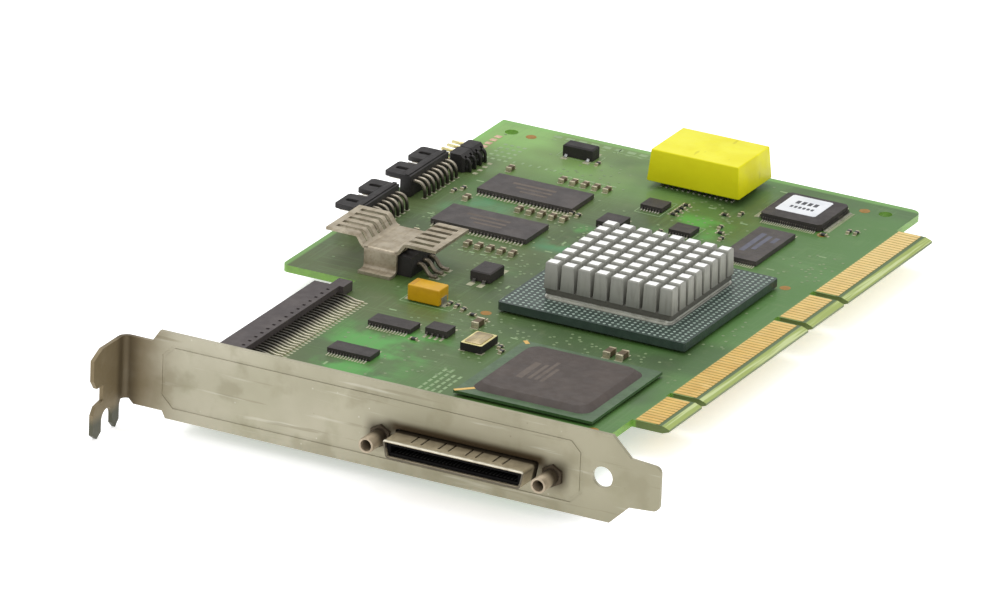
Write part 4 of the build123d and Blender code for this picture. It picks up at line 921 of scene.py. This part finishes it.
def build_inner_leads():
    """Long leads from the rear of the inner connector down to their pads, in two depths."""
    high = ribbon(0.44, 0.3, ((-0.1, 0.95), (1.6, 0.95), (2.8, 0.75),
                              (4.2, 0.38), (4.8, 0.3), (6.2, 0.3)))
    low = ribbon(0.44, 0.3, ((-0.1, 0.5), (0.6, 0.5), (1.5, 0.34), (2.2, 0.3), (3.2, 0.3)))
    places = [INNER_PLACE + step for step in steps(*INNER_LINE)]
    stamp(high, [(INNER_REAR, y, 0, -90) for y in places])
    stamp(low, [(INNER_REAR, y + INNER_LINE[1] / 2, 0, -90) for y in places[:-1]])
    dress_leads(join([high, low]), "inner_lead_rows", "inner_connector_leads", "inner_leads")


def build_regulator_leads():
    """Three broad leads that drop from the regulator to the board."""
    lead = ribbon(1.0, 0.6, ((-0.2, 2.75), (0.5, 2.75), (1.1, 2.6), (1.7, 2.1),
                             (2.3, 1.2), (2.8, 0.75), (3.3, 0.6), (4.4, 0.6)))
    soften(lead, 0.12, 1)
    x, y = REGULATOR
    stamp(lead, [(x, y + step, 0, -90) for step in steps(*REGULATOR_LINE)])
    dress_leads(lead, "regulator_lead_row", "regulator_leads", "pins")


def build_switch_leads():
    """Two leads and the rear tab of the power switch chip."""
    x, y = SWITCH
    half = 3.1
    lead = ribbon(0.7, 0.25, bend(1.3, 0.25, 0.5, 0.7))
    stamp(lead, [(x + side * SWITCH_LEAD, y - half, 0, 180) for side in SIDES])
    tab = soften(block((x - 1.8, y + half, 0.02), (x + 1.8, y + half + 0.9, 0.45)), 0.08, 1)
    dress_leads(join([lead, tab]), "switch_lead_row", "switch_leads")


def build_block_terminals():
    """Folded terminals under the two-lead block."""
    x, y = TERMINAL_BLOCK
    clip = ribbon(0.6, 0.2, ((-0.15, 0.6), (0.2, 0.6), (0.3, 0.3), (0.4, 0.2), (0.9, 0.2)))
    stamp(clip, [(x + side * TERMINAL_REACH, y + way * 1.6, 0, 180 if way < 0 else 0)
                 for side in SIDES for way in SIDES])
    dress_leads(clip, "block_terminal_clips", "block_terminals", "solder")


def build_header_housings():
    """Housing of each header: low back block with a rib, and two windowed flags over the pins."""
    half, gap = HEADER_LENGTH / 2, HEADER_GAP / 2
    top, flag_under = 4.75, 3.75
    back = soften(block((2.2, -half, 0.05), (HEADER_BACK, half, top)), 0.12, 2)
    rib = soften(block((3.3, -half, top - 0.05), (4.2, half, top + 0.3)), 0.15, 2)
    pieces = [back, rib]
    for side in SIDES:
        middle, reach = side * (half + gap) / 2, (half - gap) / 2
        flag = block((-1.65, middle - reach, flag_under), (2.25, middle + reach, top))
        soften(flag, 0.9, 4, outer_corner)
        hole = soften(block((-0.5, middle - 0.65, 3), (2.15, middle + 0.65, 6)), 0.45, 3, outer_corner)
        window = flag.modifiers.new("window", 'BOOLEAN')
        window.operation = 'DIFFERENCE'
        window.object = hole
        apply_all(flag)
        bpy.data.objects.remove(hole)
        soften(flag, 0.1, 1, lambda point, way: point.z > top - 0.05 and point.x < 2.1)
        pieces.append(flag)
    whole = stamp(join(pieces), [(0, y, 0, 0) for y in HEADER_PLACES])
    dress(finish_mesh(whole), "header_housing_pair", "black", "black_plastic", "header_housings")


def build_header_pins():
    """Bent pins of the two headers: straight under the flags, arched down behind the housing."""
    pin = ribbon(0.64, 0.64, ((-5.75, 3.67), (0.6, 3.67), (1.4, 3.6), (2.1, 3.3),
                              (2.6, 2.75), (2.9, 2.0), (3.02, 1.0), (3.02, 0.0)))
    soften(pin, 0.14, 1)
    stamp(pin, [(HEADER_BACK, y + step, 0, -90) for y in HEADER_PLACES for step in steps(*HEADER_LINE)])
    dress_leads(pin, "header_pin_rows", "header_pins", "header_pins")


def build_strip_pins():
    """Pins of the two small headers, two rows each: gilt in front, with tails darkened as painted shade.
    """
    fronts, tails = [], []
    for y in [place + step for place in STRIP_PLACES for step in (-1.1, 1.1)]:
        for level in (1.32, 3.32):
            front = ribbon(0.64, 0.64, ((0.35, level), (3.9, level)))
            fronts.append(turned(soften(front, 0.16, 1), -90, 0, y))
        high = ribbon(0.6, 0.6, ((7.4, 3.0), (7.8, 3.0), (8.3, 2.7), (8.6, 2.0), (8.7, 0.0)))
        low = ribbon(0.6, 0.5, ((7.4, 1.3), (7.6, 1.3), (7.9, 0.9), (7.95, 0.0)))
        tails += [turned(soften(tail, 0.12, 1), -90, 0, y) for tail in (high, low)]
    dress(finish_mesh(join(fronts), BEND_ANGLE), "pin_strip_fronts", "gilt", "gold", "pin_strip_pins")
    # tails darkened as painted shade
    dress(finish_mesh(join(tails), BEND_ANGLE), "pin_strip_tails", "shaded_pins", "tinned")


# Larger pieces

def ring(count, place, height):
    """Places of the outermost balls of a square package."""
    x, y = place
    line = steps(count, BALL_PITCH)
    return [(x + a, y + b, height, 0) for a in line for b in line if line[-1] in (abs(a), abs(b))]


def build_balls():
    """Outer rows of solder balls under the two large packages."""
    radius, squash = 0.36, 0.76
    rest()
    bpy.ops.mesh.primitive_uv_sphere_add(segments=8, ring_count=6, radius=radius * MM)
    ball = bpy.context.object
    ball.scale = (1, 1, squash)
    settle(ball)
    for obj, package, count, place, height in ((ball, "processor", 32, PROCESSOR, 0.275),
                                               (twin(ball), "interface", 23, INTERFACE, 0.25)):
        stamp(obj, ring(count, place, height))
        dress(finish_mesh(obj, 60), package + "_ball_rows", "solder", "solder", package + "_balls")


def build_processor_dots():
    """Grid of pale dots on the package's margin, outside the lid."""
    x, y = PROCESSOR
    dot = rod((0, 0, 0), 0.33, 0.04, 8)
    line = steps(33, BALL_PITCH)
    dot_turn = 22.35
    stamp(dot, [(x + a, y + b, PROCESSOR_TOP + SEAT, dot_turn)
                for a in line for b in line if max(abs(a), abs(b)) > LID_HALF + 0.25])
    dress(dot, "processor_dots", "dots", "solder")


def build_processor_lid():
    """Nickel lid: thin flange with rounded corners, and a raised plate inside it."""
    x, y = PROCESSOR
    flange_top, plate_rise = 2.55, 0.55
    lid = slab(PROCESSOR, (LID_HALF, LID_HALF), PROCESSOR_TOP, flange_top)
    soften(lid, 2.0, 6, upright)
    inset_top(lid, 0.45, 0)
    choose(lid, 'FACE', lambda middle, normal: normal.z > 0.9
           and abs(middle.x - x) < 5 and abs(middle.y - y) < 5)
    bpy.ops.mesh.extrude_region_move(TRANSFORM_OT_translate={"value": (0, 0, plate_rise * MM)})
    rest()
    soften(lid, 0.07, 2, lambda middle, way: middle.z > flange_top - 0.05 and abs(way.z) < 0.5)
    dress(finish_mesh(lid), "processor_lid_plate", "lid", "lid", "processor_lid")


def build_heat_sink():
    """Base and a field of tapered pins, as many each way, with softened edges."""
    x, y = PROCESSOR
    base_top, top = 4.35, 10.0
    base = slab(PROCESSOR, (14.4, 13.9), 3.1, base_top)
    soften(base, 0.5, 3, upright)
    soften(base, 0.12, 2, above(base_top - 0.05))
    pin = slab((0, 0), (1.56, 1.4), base_top - 0.15, top)
    scale_faces(pin, (0.9, 0.86, 1), (0, 0))
    soften(pin, 0.36, 2, above(top - 0.2))
    soften(pin, 0.12, 1, lambda middle, way: base_top + 0.15 < middle.z < top - 0.4)
    across, along = (steps(SINK_PINS, width / SINK_PINS) for width in SINK_FIELD)
    stamp(pin, [(x + a, y + b, 0, 0) for a in across for b in along])
    dress(finish_mesh(join([base, pin])), "pin_fin_sink", "heat_sink", "heat_sink", "heat_sink")


def build_interface_cap():
    """Moulded cap with rounded corners and sloping sides."""
    foot_half, top_half = 13.2, 11.9
    cap = slab(INTERFACE, (foot_half, foot_half), 1.1, INTERFACE_TOP)
    soften(cap, 2.8, 6, upright)
    scale_faces(cap, (top_half / foot_half, top_half / foot_half, 1), INTERFACE)
    soften(cap, 0.12, 2, lambda middle, way: middle.z > INTERFACE_TOP - 0.25 and abs(way.z) < 0.3)
    dress(finish_mesh(cap), "interface_cap_moulding", "cap", "moulding", "interface_cap")


def build_gold_marks():
    """Gold bars on two diagonals of the interface chip's substrate."""
    x, y = INTERFACE
    start, height = 15.4 * math.sqrt(2), 1.105
    bars = []
    for corner, reach in ((135, 4.9), (45, 1.8)):
        angle = math.radians(corner)
        bar = block((-0.45, 0, height), (0.45, reach, height + 0.03))
        bars.append(turned(bar, corner + 180, x - math.sin(angle) * start, y + math.cos(angle) * start))
    dress(join(bars), "interface_gold_marks", "gold", "gold")


def build_battery_cap():
    """Yellow cap: tapered walls, softened edges, pocket underneath for the clock chip."""
    x, y = CLOCK
    foot, top, wall = (10.8, 7.8), (10.15, 7.4), 1.2
    pocket = (foot[0] - wall + 0.1, foot[1] - wall + 0.1)
    cap = slab(CLOCK, foot, 1.5, 8.6)
    scale_faces(cap, (top[0] / foot[0], top[1] / foot[1], 1), CLOCK)
    hollow(cap, wall, (0, 0, 1.1), lambda middle, normal: normal.z < -0.9)
    soften(cap, 0.28, 3, lambda middle, way: middle.z >= 3 or abs(middle.x - x) >= pocket[0]
           or abs(middle.y - y) >= pocket[1])
    dress(finish_mesh(cap), "battery_cap_shell", "yellow", "yellow_cap", "battery_cap")


def build_tantalum():
    """Resin body with softened edges and a darker band at one end."""
    x, y = TANTALUM
    top = 3.65
    body = soften(slab(TANTALUM, (3.65, 2.15), 0.15, top), 0.3, 3)
    dress(finish_mesh(body), "tantalum_body", "tantalum", "tantalum", "tantalum_capacitor")
    band = block((x - 3.35, y - 1.8, top - 0.01), (x - 2.4, y + 1.8, top + 0.015))
    dress(band, "tantalum_band", "band", "tantalum")


def build_oscillator():
    """Gilt rim and metal lid on the oscillator's ceramic body."""
    rim = soften(slab(OSCILLATOR, (2.35, 3.55), 1.65, 1.72), 0.3, 3, upright)
    dress(rim, "oscillator_rim", "gilt", "can_lid")
    lid = soften(slab(OSCILLATOR, (1.85, 3.05), 1.7, 1.9), 0.45, 4, upright)
    soften(lid, 0.06, 2, above(1.85))
    dress(finish_mesh(lid), "oscillator_cover", "can", "can_lid", "oscillator_lid")


def build_port_lip():
    """Rolled lip of the port's shell: a rounded ring, narrower below, left from a pierced block."""
    x, z = PORT
    top_half, foot_half, half_height = 15.6, 14.8, 1.92
    lip = block((x - top_half, -5.9, z - half_height), (x + top_half, -5.5, z + half_height))
    scale_faces(lip, (foot_half / top_half, 1, 1), (x, 0), lambda middle, normal: normal.z < -0.9)
    soften(lip, 0.6, 3, lambda middle, way: abs(way.y) > 0.9)
    choose(lip, 'FACE', lambda middle, normal: abs(normal.y) > 0.9)
    bpy.ops.mesh.inset(thickness=0.34 * MM, depth=0, use_individual=True)
    bpy.ops.mesh.delete(type='FACE')
    rest()
    choose(lip, 'EDGE', lambda middle, way: False)
    bpy.ops.mesh.select_non_manifold()
    bpy.ops.mesh.bridge_edge_loops()
    bpy.ops.mesh.select_all(action='SELECT')
    bpy.ops.mesh.normals_make_consistent(inside=False)
    rest()
    dress(finish_mesh(lip), "port_lip", "lip", "port_shell")


def build_port_contacts():
    """Two rows of contacts on the insert inside the port, darkened as painted shade."""
    x, z = PORT
    contact = block((-0.16, -4.7, 0), (0.16, -1.2, 0.12))
    stamp(contact, [(x + step, 0, z + level, 0) for step in steps(*PORT_LINE) for level in (-0.72, 0.6)])
    dress(contact, "port_contacts", "shaded_pins", "gold")


def build_jack_posts():
    """Hollow round posts on six-sided collars, one at each end of the port."""
    x, z = PORT
    lying = (math.radians(90), 0, 0)
    post = rod((0, -3.2, z), 1.65, 6.4, 24, lying)
    hollow(post, 0.5, (0, 5.0, 0), lambda middle, normal: normal.y < -0.9)
    soften(post, 0.16, 2, lambda middle, way: middle.y < -6.3 and abs(way.y) < 0.5)
    collar = rod((0, -0.36, z), 2.4, 0.7, 6, lying)
    soften(collar, 0.12, 2, lambda middle, way: middle.y < -0.6)
    pair = stamp(join([post, collar]), [(x + side * JACK_SPACING / 2, 0, 0, 0) for side in SIDES])
    dress(finish_mesh(pair), "jack_post_pair", "jack", "jack_steel", "jack_posts")


# Small parts on the board

# Each size is length, width, height and the length of an end cap
ROW_SIZE, LARGE_SIZE, TINY_SIZE = (2.2, 1.25, 0.85, 0.5), (3.3, 1.6, 1.25, 0.55), (1.6, 0.85, 0.5, 0.35)
ROW_PLACES = [27.2 + i * 2.6 for i in range(5)]
ROW_CHIPS = [(x, y) for x in ROW_PLACES + [14.9] for y in (106.4, 129.4, 149.2)]
LARGE_CHIPS = ((79.3, 68.4), (82.2, 68.4), (49.6, 68.2))
# Each tiny chip is x, y and turn
TINY_CHIPS = (
    (28.9, 161.9, 0), (39.4, 75.4, 0), (41.2, 75.0, 0), (43.2, 74.0, 0), (42.2, 54.4, 90),
    (58.9, 60.0, 0), (60.2, 58.0, 0), (66.9, 143.2, 0), (68.4, 140.4, 90), (69.9, 137.6, 0),
    (55.4, 150.6, 90), (55.4, 148.6, 90), (55.4, 146.6, 90), (55.4, 144.6, 90),
    (37.4, 133.6, 0), (39.0, 133.2, 0), (10.6, 131.9, 0), (11.6, 134.2, 0), (49.4, 71.2, 90),
    (46.2, 72.4, 90), (66.6, 131.4, 90), (68.2, 129.2, 90), (57.4, 134.2, 0), (86.9, 150.9, 90),
    (90.6, 155.4, 0), (92.2, 155.6, 0), (64.6, 150.1, 90), (67.2, 152.3, 0), (12.2, 99.4, 90),
)
UNUSED_STEPS = [i * 2.2 for i in range(4)]    # along each row of unused pads


def chip(length, width, height, end):
    """Body and two end caps of a chip capacitor, at the origin along Y."""
    half, proud = length / 2, 0.03
    body = slab((0, 0), (width / 2 - proud, half - end * 0.9), 0.08, height)
    soften(body, 0.05, 1)
    caps = [soften(block((-width / 2, a, 0.04), (width / 2, b, height + proud)), 0.1, 2)
            for a, b in ((-half, end - half), (half - end, half))]
    return body, join(caps)


def build_chips():
    """Chip capacitors and resistors, with their end caps."""
    bodies, caps = [], []
    for size, places in ((ROW_SIZE, ROW_CHIPS), (LARGE_SIZE, LARGE_CHIPS)):
        body, cap = chip(*size)
        spots = [(x, y, 0, 0) for x, y in places]
        bodies.append(stamp(body, spots))
        caps.append(stamp(cap, spots))
    dress(finish_mesh(join(bodies)), "capacitor_bodies", "ceramic", "chip_ceramic",
          "chip_capacitor_bodies")
    tiny, tiny_caps = chip(*TINY_SIZE)
    spots = [(x, y, 0, turn) for x, y, turn in TINY_CHIPS]
    dress(finish_mesh(stamp(tiny, spots)), "small_resistors", "resistor", "chip_ceramic")
    caps.append(stamp(tiny_caps, spots))
    dress(finish_mesh(join(caps)), "capacitor_ends", "cap_ends", "tinned", "chip_capacitor_ends")


def chip_pads():
    """Pads on two sides of chips and like parts, as x, y, width, length and turn."""
    one = (1, 0)    # a line of a single pad
    # Each row is places, line, reach from the middle of the chip, and a pad's width and length
    rows = (
        (ROW_CHIPS, one, 1.15, 1.3, 0.9), (LARGE_CHIPS, one, 1.75, 1.7, 1.0),
        (MEMORIES, MEMORY_LINE, 6.0, 0.42, 1.1), (TRANSCEIVERS, BUS_LINE, 3.3, 0.36, 1.2),
        ((NARROW_CHIP,), SMALL_LINE, 3.1, 0.6, 1.3), ((BROAD_CHIP,), SMALL_LINE, 3.8, 0.6, 1.3),
        ((FLASH,), FLASH_LINE, 10.1, 0.28, 1.2), ((LOGIC,), LOGIC_LINE, 8.1, 0.28, 1.2),
        ((OSCILLATOR,), (2, 4.0), 3.2, 1.5, 1.6),
        ((TERMINAL_BLOCK,), (2, 2 * TERMINAL_REACH), 2.6, 1.4, 1.6),
    )
    return [(x + step, y + side * reach, width, length, 0)
            for places, line, reach, width, length in rows
            for x, y in places for step in steps(*line) for side in SIDES]


def other_pads():
    """Pads of the remaining parts and the unused ones, as x, y, width, length and turn."""
    pads = []
    for x, y, turn in TINY_CHIPS:
        across, along = (0.9, 0.0) if turn else (0.0, 0.9)
        pads += [(x + side * across, y + side * along, 0.8, 0.8, 0) for side in SIDES]
    x, y = LOGIC
    pads += [(x + side * 8.1, y + step, 1.2, 0.28, 0) for step in steps(*LOGIC_LINE) for side in SIDES]
    pads += [(INNER_REAR + 6.4, INNER_PLACE + step, 1.3, 0.6, 0) for step in steps(*INNER_LINE)]
    x, y = REGULATOR
    pads += [(x + 3.9, y + step, 2.2, 1.5, 0) for step in steps(*REGULATOR_LINE)]
    pads += [(HEADER_BACK + 2.7, y + step, 1.1, 1.1, 0)
             for y in HEADER_PLACES for step in steps(*HEADER_LINE)]
    x, y = SWITCH
    pads += [(x + side * SWITCH_LEAD, y - 5.0, 1.3, 1.9, 0) for side in SIDES]
    pads.append((x, y + 4.4, 4.4, 2.4, 0))
    x, y = TANTALUM
    pads += [(x + side * 4.0, y, 1.4, 2.8, 0) for side in SIDES]
    pads += [(9.6, 143.3 + step, 1.0, 1.0, 0) for step in UNUSED_STEPS]
    return pads


def build_pads():
    """Bare tinned pads under the parts and the unused ones beside them."""
    dress(plates(0.03, chip_pads() + other_pads()), "solder_pads", "pads", "tinned")
    bare = inset_top(slab((0, 0), (0.75, 0.7), 0, 0.05), 0.3, 0.15)
    stamp(bare, [(3.8, 158.3 + step, 0, 0) for step in UNUSED_STEPS])
    dress(bare, "bare_pads", "blush", "tinned")


VIA_COUNT, VIA_GRID, VIA_GAP = 420, 0.635, 1.1
VIA_NEAR_SHARE, VIA_SPREAD = 0.7, (5, 6)    # the share near a centre, and how far they spread
VIA_CENTRES = (
    (33, 108), (45, 100), (45, 125), (60, 128), (68, 142), (55, 70), (70, 72), (88, 70),
    (94, 90), (94, 130), (60, 148), (44, 66), (30, 50), (50, 45), (15, 110), (30, 154),
)
# Left, right, near and far limits of the areas that parts and edges keep free of vias
VIA_FREE = (
    (49, 92.5, 76, 120), (62, 94, 32, 64.5), (14.5, 38, 112, 125), (14.5, 38, 132.5, 145),
    (74, 83.5, 126, 148), (70, 87.5, 150.5, 168), (43, 65.5, 155, 172), (30, 41, 37.5, 45.5),
    (30, 41, 55, 62.5), (42, 48.5, 57, 63.5), (52, 58, 54, 62.5), (30, 39.5, 72, 77.5),
    (13, 31, 80, 100), (36, 42, 87, 98), (-5, 12, 100, 154), (0, 26.5, 20, 78), (-5, 18, -5, 78),
    (97.2, 110, 0, 180), (59, 105, 0, 13), (0, 98, 0, 3), (0, 98, 172.6, 180),
)


def build_vias():
    """Small tinned rings scattered between the parts, denser about some centres."""
    spots = []
    while len(spots) < VIA_COUNT:
        if random.random() < VIA_NEAR_SHARE:
            x, y = (random.gauss(v, spread) for v, spread in zip(random.choice(VIA_CENTRES), VIA_SPREAD))
        else:
            x, y = random.uniform(2, 97), random.uniform(4, 172)
        x, y = (round(v / VIA_GRID) * VIA_GRID for v in (x, y))
        taken = any(a < x < b and c < y < d for a, b, c, d in VIA_FREE)
        if not taken and all(abs(x - a) + abs(y - b) >= VIA_GAP for a, b, _, _ in spots):
            spots.append((x, y, 0.012, 0))
    ring_plate = inset_top(rod((0, 0, 0), 0.34, 0.03, 8), 0.17, -0.012)
    dress(stamp(ring_plate, spots), "board_vias", "via", "tinned")


BAR_PLACES = (
    (12.5, 118.0), (12.5, 140.0), (43.5, 118.0), (43.0, 112.0), (60.5, 152.4), (70.0, 148.0),
    (86.0, 128.0), (92.0, 62.0), (47.0, 84.0), (45.0, 90.0), (31.0, 66.5), (92.0, 140.0),
    (69.0, 168.8), (59.0, 66.0), (33.0, 34.0),
)
TARGET_PLACES = ((9.7, 168.6), (47.8, 75.1), (93.1, 120.4), (86.5, 151.2), (88.0, 168.3), (94.4, 31.6))


def outline(x, y, width, length):
    """Four thin bars round a part."""
    bars = [(x + side * width / 2, y, 0.2, length, 0) for side in SIDES]
    return bars + [(x, y + side * length / 2, width, 0.2, 0) for side in SIDES]


def build_print():
    """Pale print on the board: outlines, ticks and short plain bars."""
    x, y = TANTALUM
    bars = outline(x + 0.7, y, 11.5, 5.4) + outline(*TERMINAL_BLOCK, 9.4, 4.4)
    for place in FLAT_CHIPS:
        bars += outline(*place, 5.8, 8.4)
    bars += [(55.0 + 1.5 * i, 33.0 + 2.1 * j, 0.6, 1.5, 0) for i in range(4) for j in range(6 - i // 2)]
    bars += [(7.2 + 1.5 * i, 153.0 + 2.2 * j, 0.8, 0.9, 0) for i in range(4) for j in range(5)]
    for y, width, length in ((171.7, 1.9, 1.3), (169.9, 1.2, 0.4)):
        bars += [(14.5 + i * 2.9, y, width, length, 0) for i in range(11)]
    bars += [(29.2, 171.2, 0.25, 2.8, 0), (45.0, 170.3, 31.0, 0.25, 0)]
    bars += [(13.5 + i * 1.9, 153.5 + (i % 2) * 0.3, 1.1, 0.5, 90) for i in range(6)]
    bars += [(x, y, 1.3, 0.5, 0) for x in ROW_PLACES for y in (103.2, 152.2)]
    bars += [(x, y, 1.7, 0.5, random.choice((0, 90))) for x, y in BAR_PLACES]
    dress(plates(0.02, bars), "board_print", "print", "label")


def build_targets():
    """Copper targets near the corners of the board and of the large chips."""
    target = inset_top(rod((0, 0, 0.008), 1.15, 0.03, 24), 0.55, 0.01)
    stamp(target, [(x, y, 0, 0) for x, y in TARGET_PLACES])
    dress(target, "copper_targets", "copper", "gold")


def bars_on(places, top, bars):
    """Thin bars on chips, given as a step from each chip's middle, a width and a length."""
    return plates(0.012, [(x + a, y + b, width, length, 0)
                          for x, y in places for a, b, width, length in bars], top)


def build_chip_print():
    """Faint plain bars on the chips, and darker ones on the label."""
    memory = bars_on(MEMORIES, FLAT_TOP, ((-1.0, 1.6, 10.0, 1.0), (-0.2, -0.3, 8.4, 0.9),
                                          (0.6, -2.1, 6.4, 0.8)))
    interface = bars_on((INTERFACE,), INTERFACE_TOP, (
        (-6.4, -0.6, 1.5, 9.0), (-4.3, -0.4, 0.8, 8.4), (-2.9, 0.8, 0.8, 10.5), (-1.5, -1.0, 0.8, 7.6)))
    dress(join([memory, interface]), "chip_print_bars", "faint", "moulding")
    flash = bars_on((FLASH,), FLAT_TOP, ((-1.4, 0.5, 1.2, 11.0), (0.4, 1.0, 1.0, 8.4),
                                         (2.2, 3.4, 1.0, 3.0)))
    dress(flash, "flash_print_bars", "blue_print", "moulding")
    large = [(1.35 * i - 2.6, 2.4, 0.9, 1.7) for i in range(4)]
    small = [(0.95 * i - 2.9, -0.3, 0.6, 1.1) for i in range(6)]
    dress(bars_on((LOGIC,), LABEL_TOP, large + small), "label_print_bars", "ink", "label")


# Floor, light and camera

CAMERA_AZIMUTH = 26.683
CAMERA_ELEVATION = 21.793
CAMERA_ROLL = 2.238
CAMERA_DISTANCE = 2298.386
CAMERA_TARGET = (47.53, 81.747, 0.0)
CAMERA_LENS = 407.5
HORIZON_GLOW, SKY_GLOW = 0.5, 0.85
FLOOR_GLOW = 0.46
FLOOR_SIZE, FLOOR_MIDDLE = 6.0, (0.05, 0.08)    # in metres
# Each lamp is a name, place, target, size and power
LAMPS = (
    ("overhead_lamp", (-150, 350, 1000), (50, 90, 0), 600, 4.0),
    ("front_lamp", (500, -700, 500), (50, 60, 0), 500, 1.2),
)


def add_camera():
    """Camera fitted to the outline and keyways of the card in the photograph."""
    azimuth, elevation, roll = (math.radians(v) for v in (CAMERA_AZIMUTH, CAMERA_ELEVATION, CAMERA_ROLL))
    right = Vector((math.cos(azimuth), math.sin(azimuth), 0))
    back = Vector((math.sin(azimuth) * math.cos(elevation), -math.cos(azimuth) * math.cos(elevation),
                   math.sin(elevation)))
    up = back.cross(right)
    across = right * math.cos(roll) + up * math.sin(roll)
    over = up * math.cos(roll) - right * math.sin(roll)
    place = (Vector(CAMERA_TARGET) + back * CAMERA_DISTANCE) * MM
    data = bpy.data.cameras.new("card_camera")
    data.lens = CAMERA_LENS
    data.sensor_width = 36
    data.sensor_fit = 'HORIZONTAL'
    data.clip_start = 0.1
    data.clip_end = 20
    camera = bpy.data.objects.new("card_camera", data)
    bpy.context.scene.collection.objects.link(camera)
    camera.matrix_world = Matrix((
        (across.x, over.x, back.x, place.x), (across.y, over.y, back.y, place.y),
        (across.z, over.z, back.z, place.z), (0, 0, 0, 1)))
    bpy.context.scene.camera = camera


def add_light(name, place, target, size, power):
    """Soft square lamp at a place, aimed at a point."""
    data = bpy.data.lights.new(name, 'AREA')
    data.shape = 'SQUARE'
    data.size = size * MM
    data.energy = power
    lamp = bpy.data.objects.new(name, data)
    bpy.context.scene.collection.objects.link(lamp)
    lamp.location = [v * MM for v in place]
    aim = (Vector(target) - Vector(place)).normalized()
    lamp.rotation_euler = aim.to_track_quat('-Z', 'Y').to_euler()


def add_floor():
    """Pale floor that glows a little, so that it shows as white."""
    rest()
    low = cad_box[0][2]
    bpy.ops.mesh.primitive_plane_add(size=FLOOR_SIZE, location=(*FLOOR_MIDDLE, low))
    floor = settle(bpy.context.object)
    floor.name = "studio_floor"
    made = Finish("pale_floor", tone(252, 252, 252), rough=0.9, specular=0.1)
    made.layer(tone(246, 246, 246), made.patches(9, 0.3, 0.7), 0.5)
    made.shader.inputs['Emission Color'].default_value = (1, 1, 1, 1)
    made.shader.inputs['Emission Strength'].default_value = FLOOR_GLOW
    floor.data.materials.append(made.done())


def add_surroundings():
    """Pale surroundings, brighter overhead than at the horizon."""
    world = bpy.data.worlds.new("studio")
    bpy.context.scene.world = world
    world.use_nodes = True
    nodes, links = world.node_tree.nodes, world.node_tree.links
    direction = nodes.new('ShaderNodeTexCoord')
    split = nodes.new('ShaderNodeSeparateXYZ')
    rise = nodes.new('ShaderNodeMapRange')
    rise.inputs['From Min'].default_value = -0.3
    rise.inputs['From Max'].default_value = 0.9
    rise.inputs['To Min'].default_value = HORIZON_GLOW
    rise.inputs['To Max'].default_value = SKY_GLOW
    links.new(direction.outputs['Generated'], split.inputs[0])
    links.new(split.outputs['Z'], rise.inputs['Value'])
    links.new(rise.outputs['Result'], nodes["Background"].inputs['Strength'])
    nodes["Background"].inputs['Color'].default_value = (1, 1, 1, 1)


add_camera()
dress_cad()
build_leads()
build_inner_leads()
build_regulator_leads()
build_switch_leads()
build_block_terminals()
build_header_housings()
build_header_pins()
build_strip_pins()
build_balls()
build_processor_dots()
build_processor_lid()
build_heat_sink()
build_interface_cap()
build_gold_marks()
build_battery_cap()
build_tantalum()
build_oscillator()
build_port_lip()
build_port_contacts()
build_jack_posts()
build_chips()
build_pads()
build_vias()
build_print()
build_targets()
build_chip_print()
add_floor()
add_surroundings()
for lamp in LAMPS:
    add_light(*lamp)
bpy.context.scene.view_settings.view_transform = 'Standard'
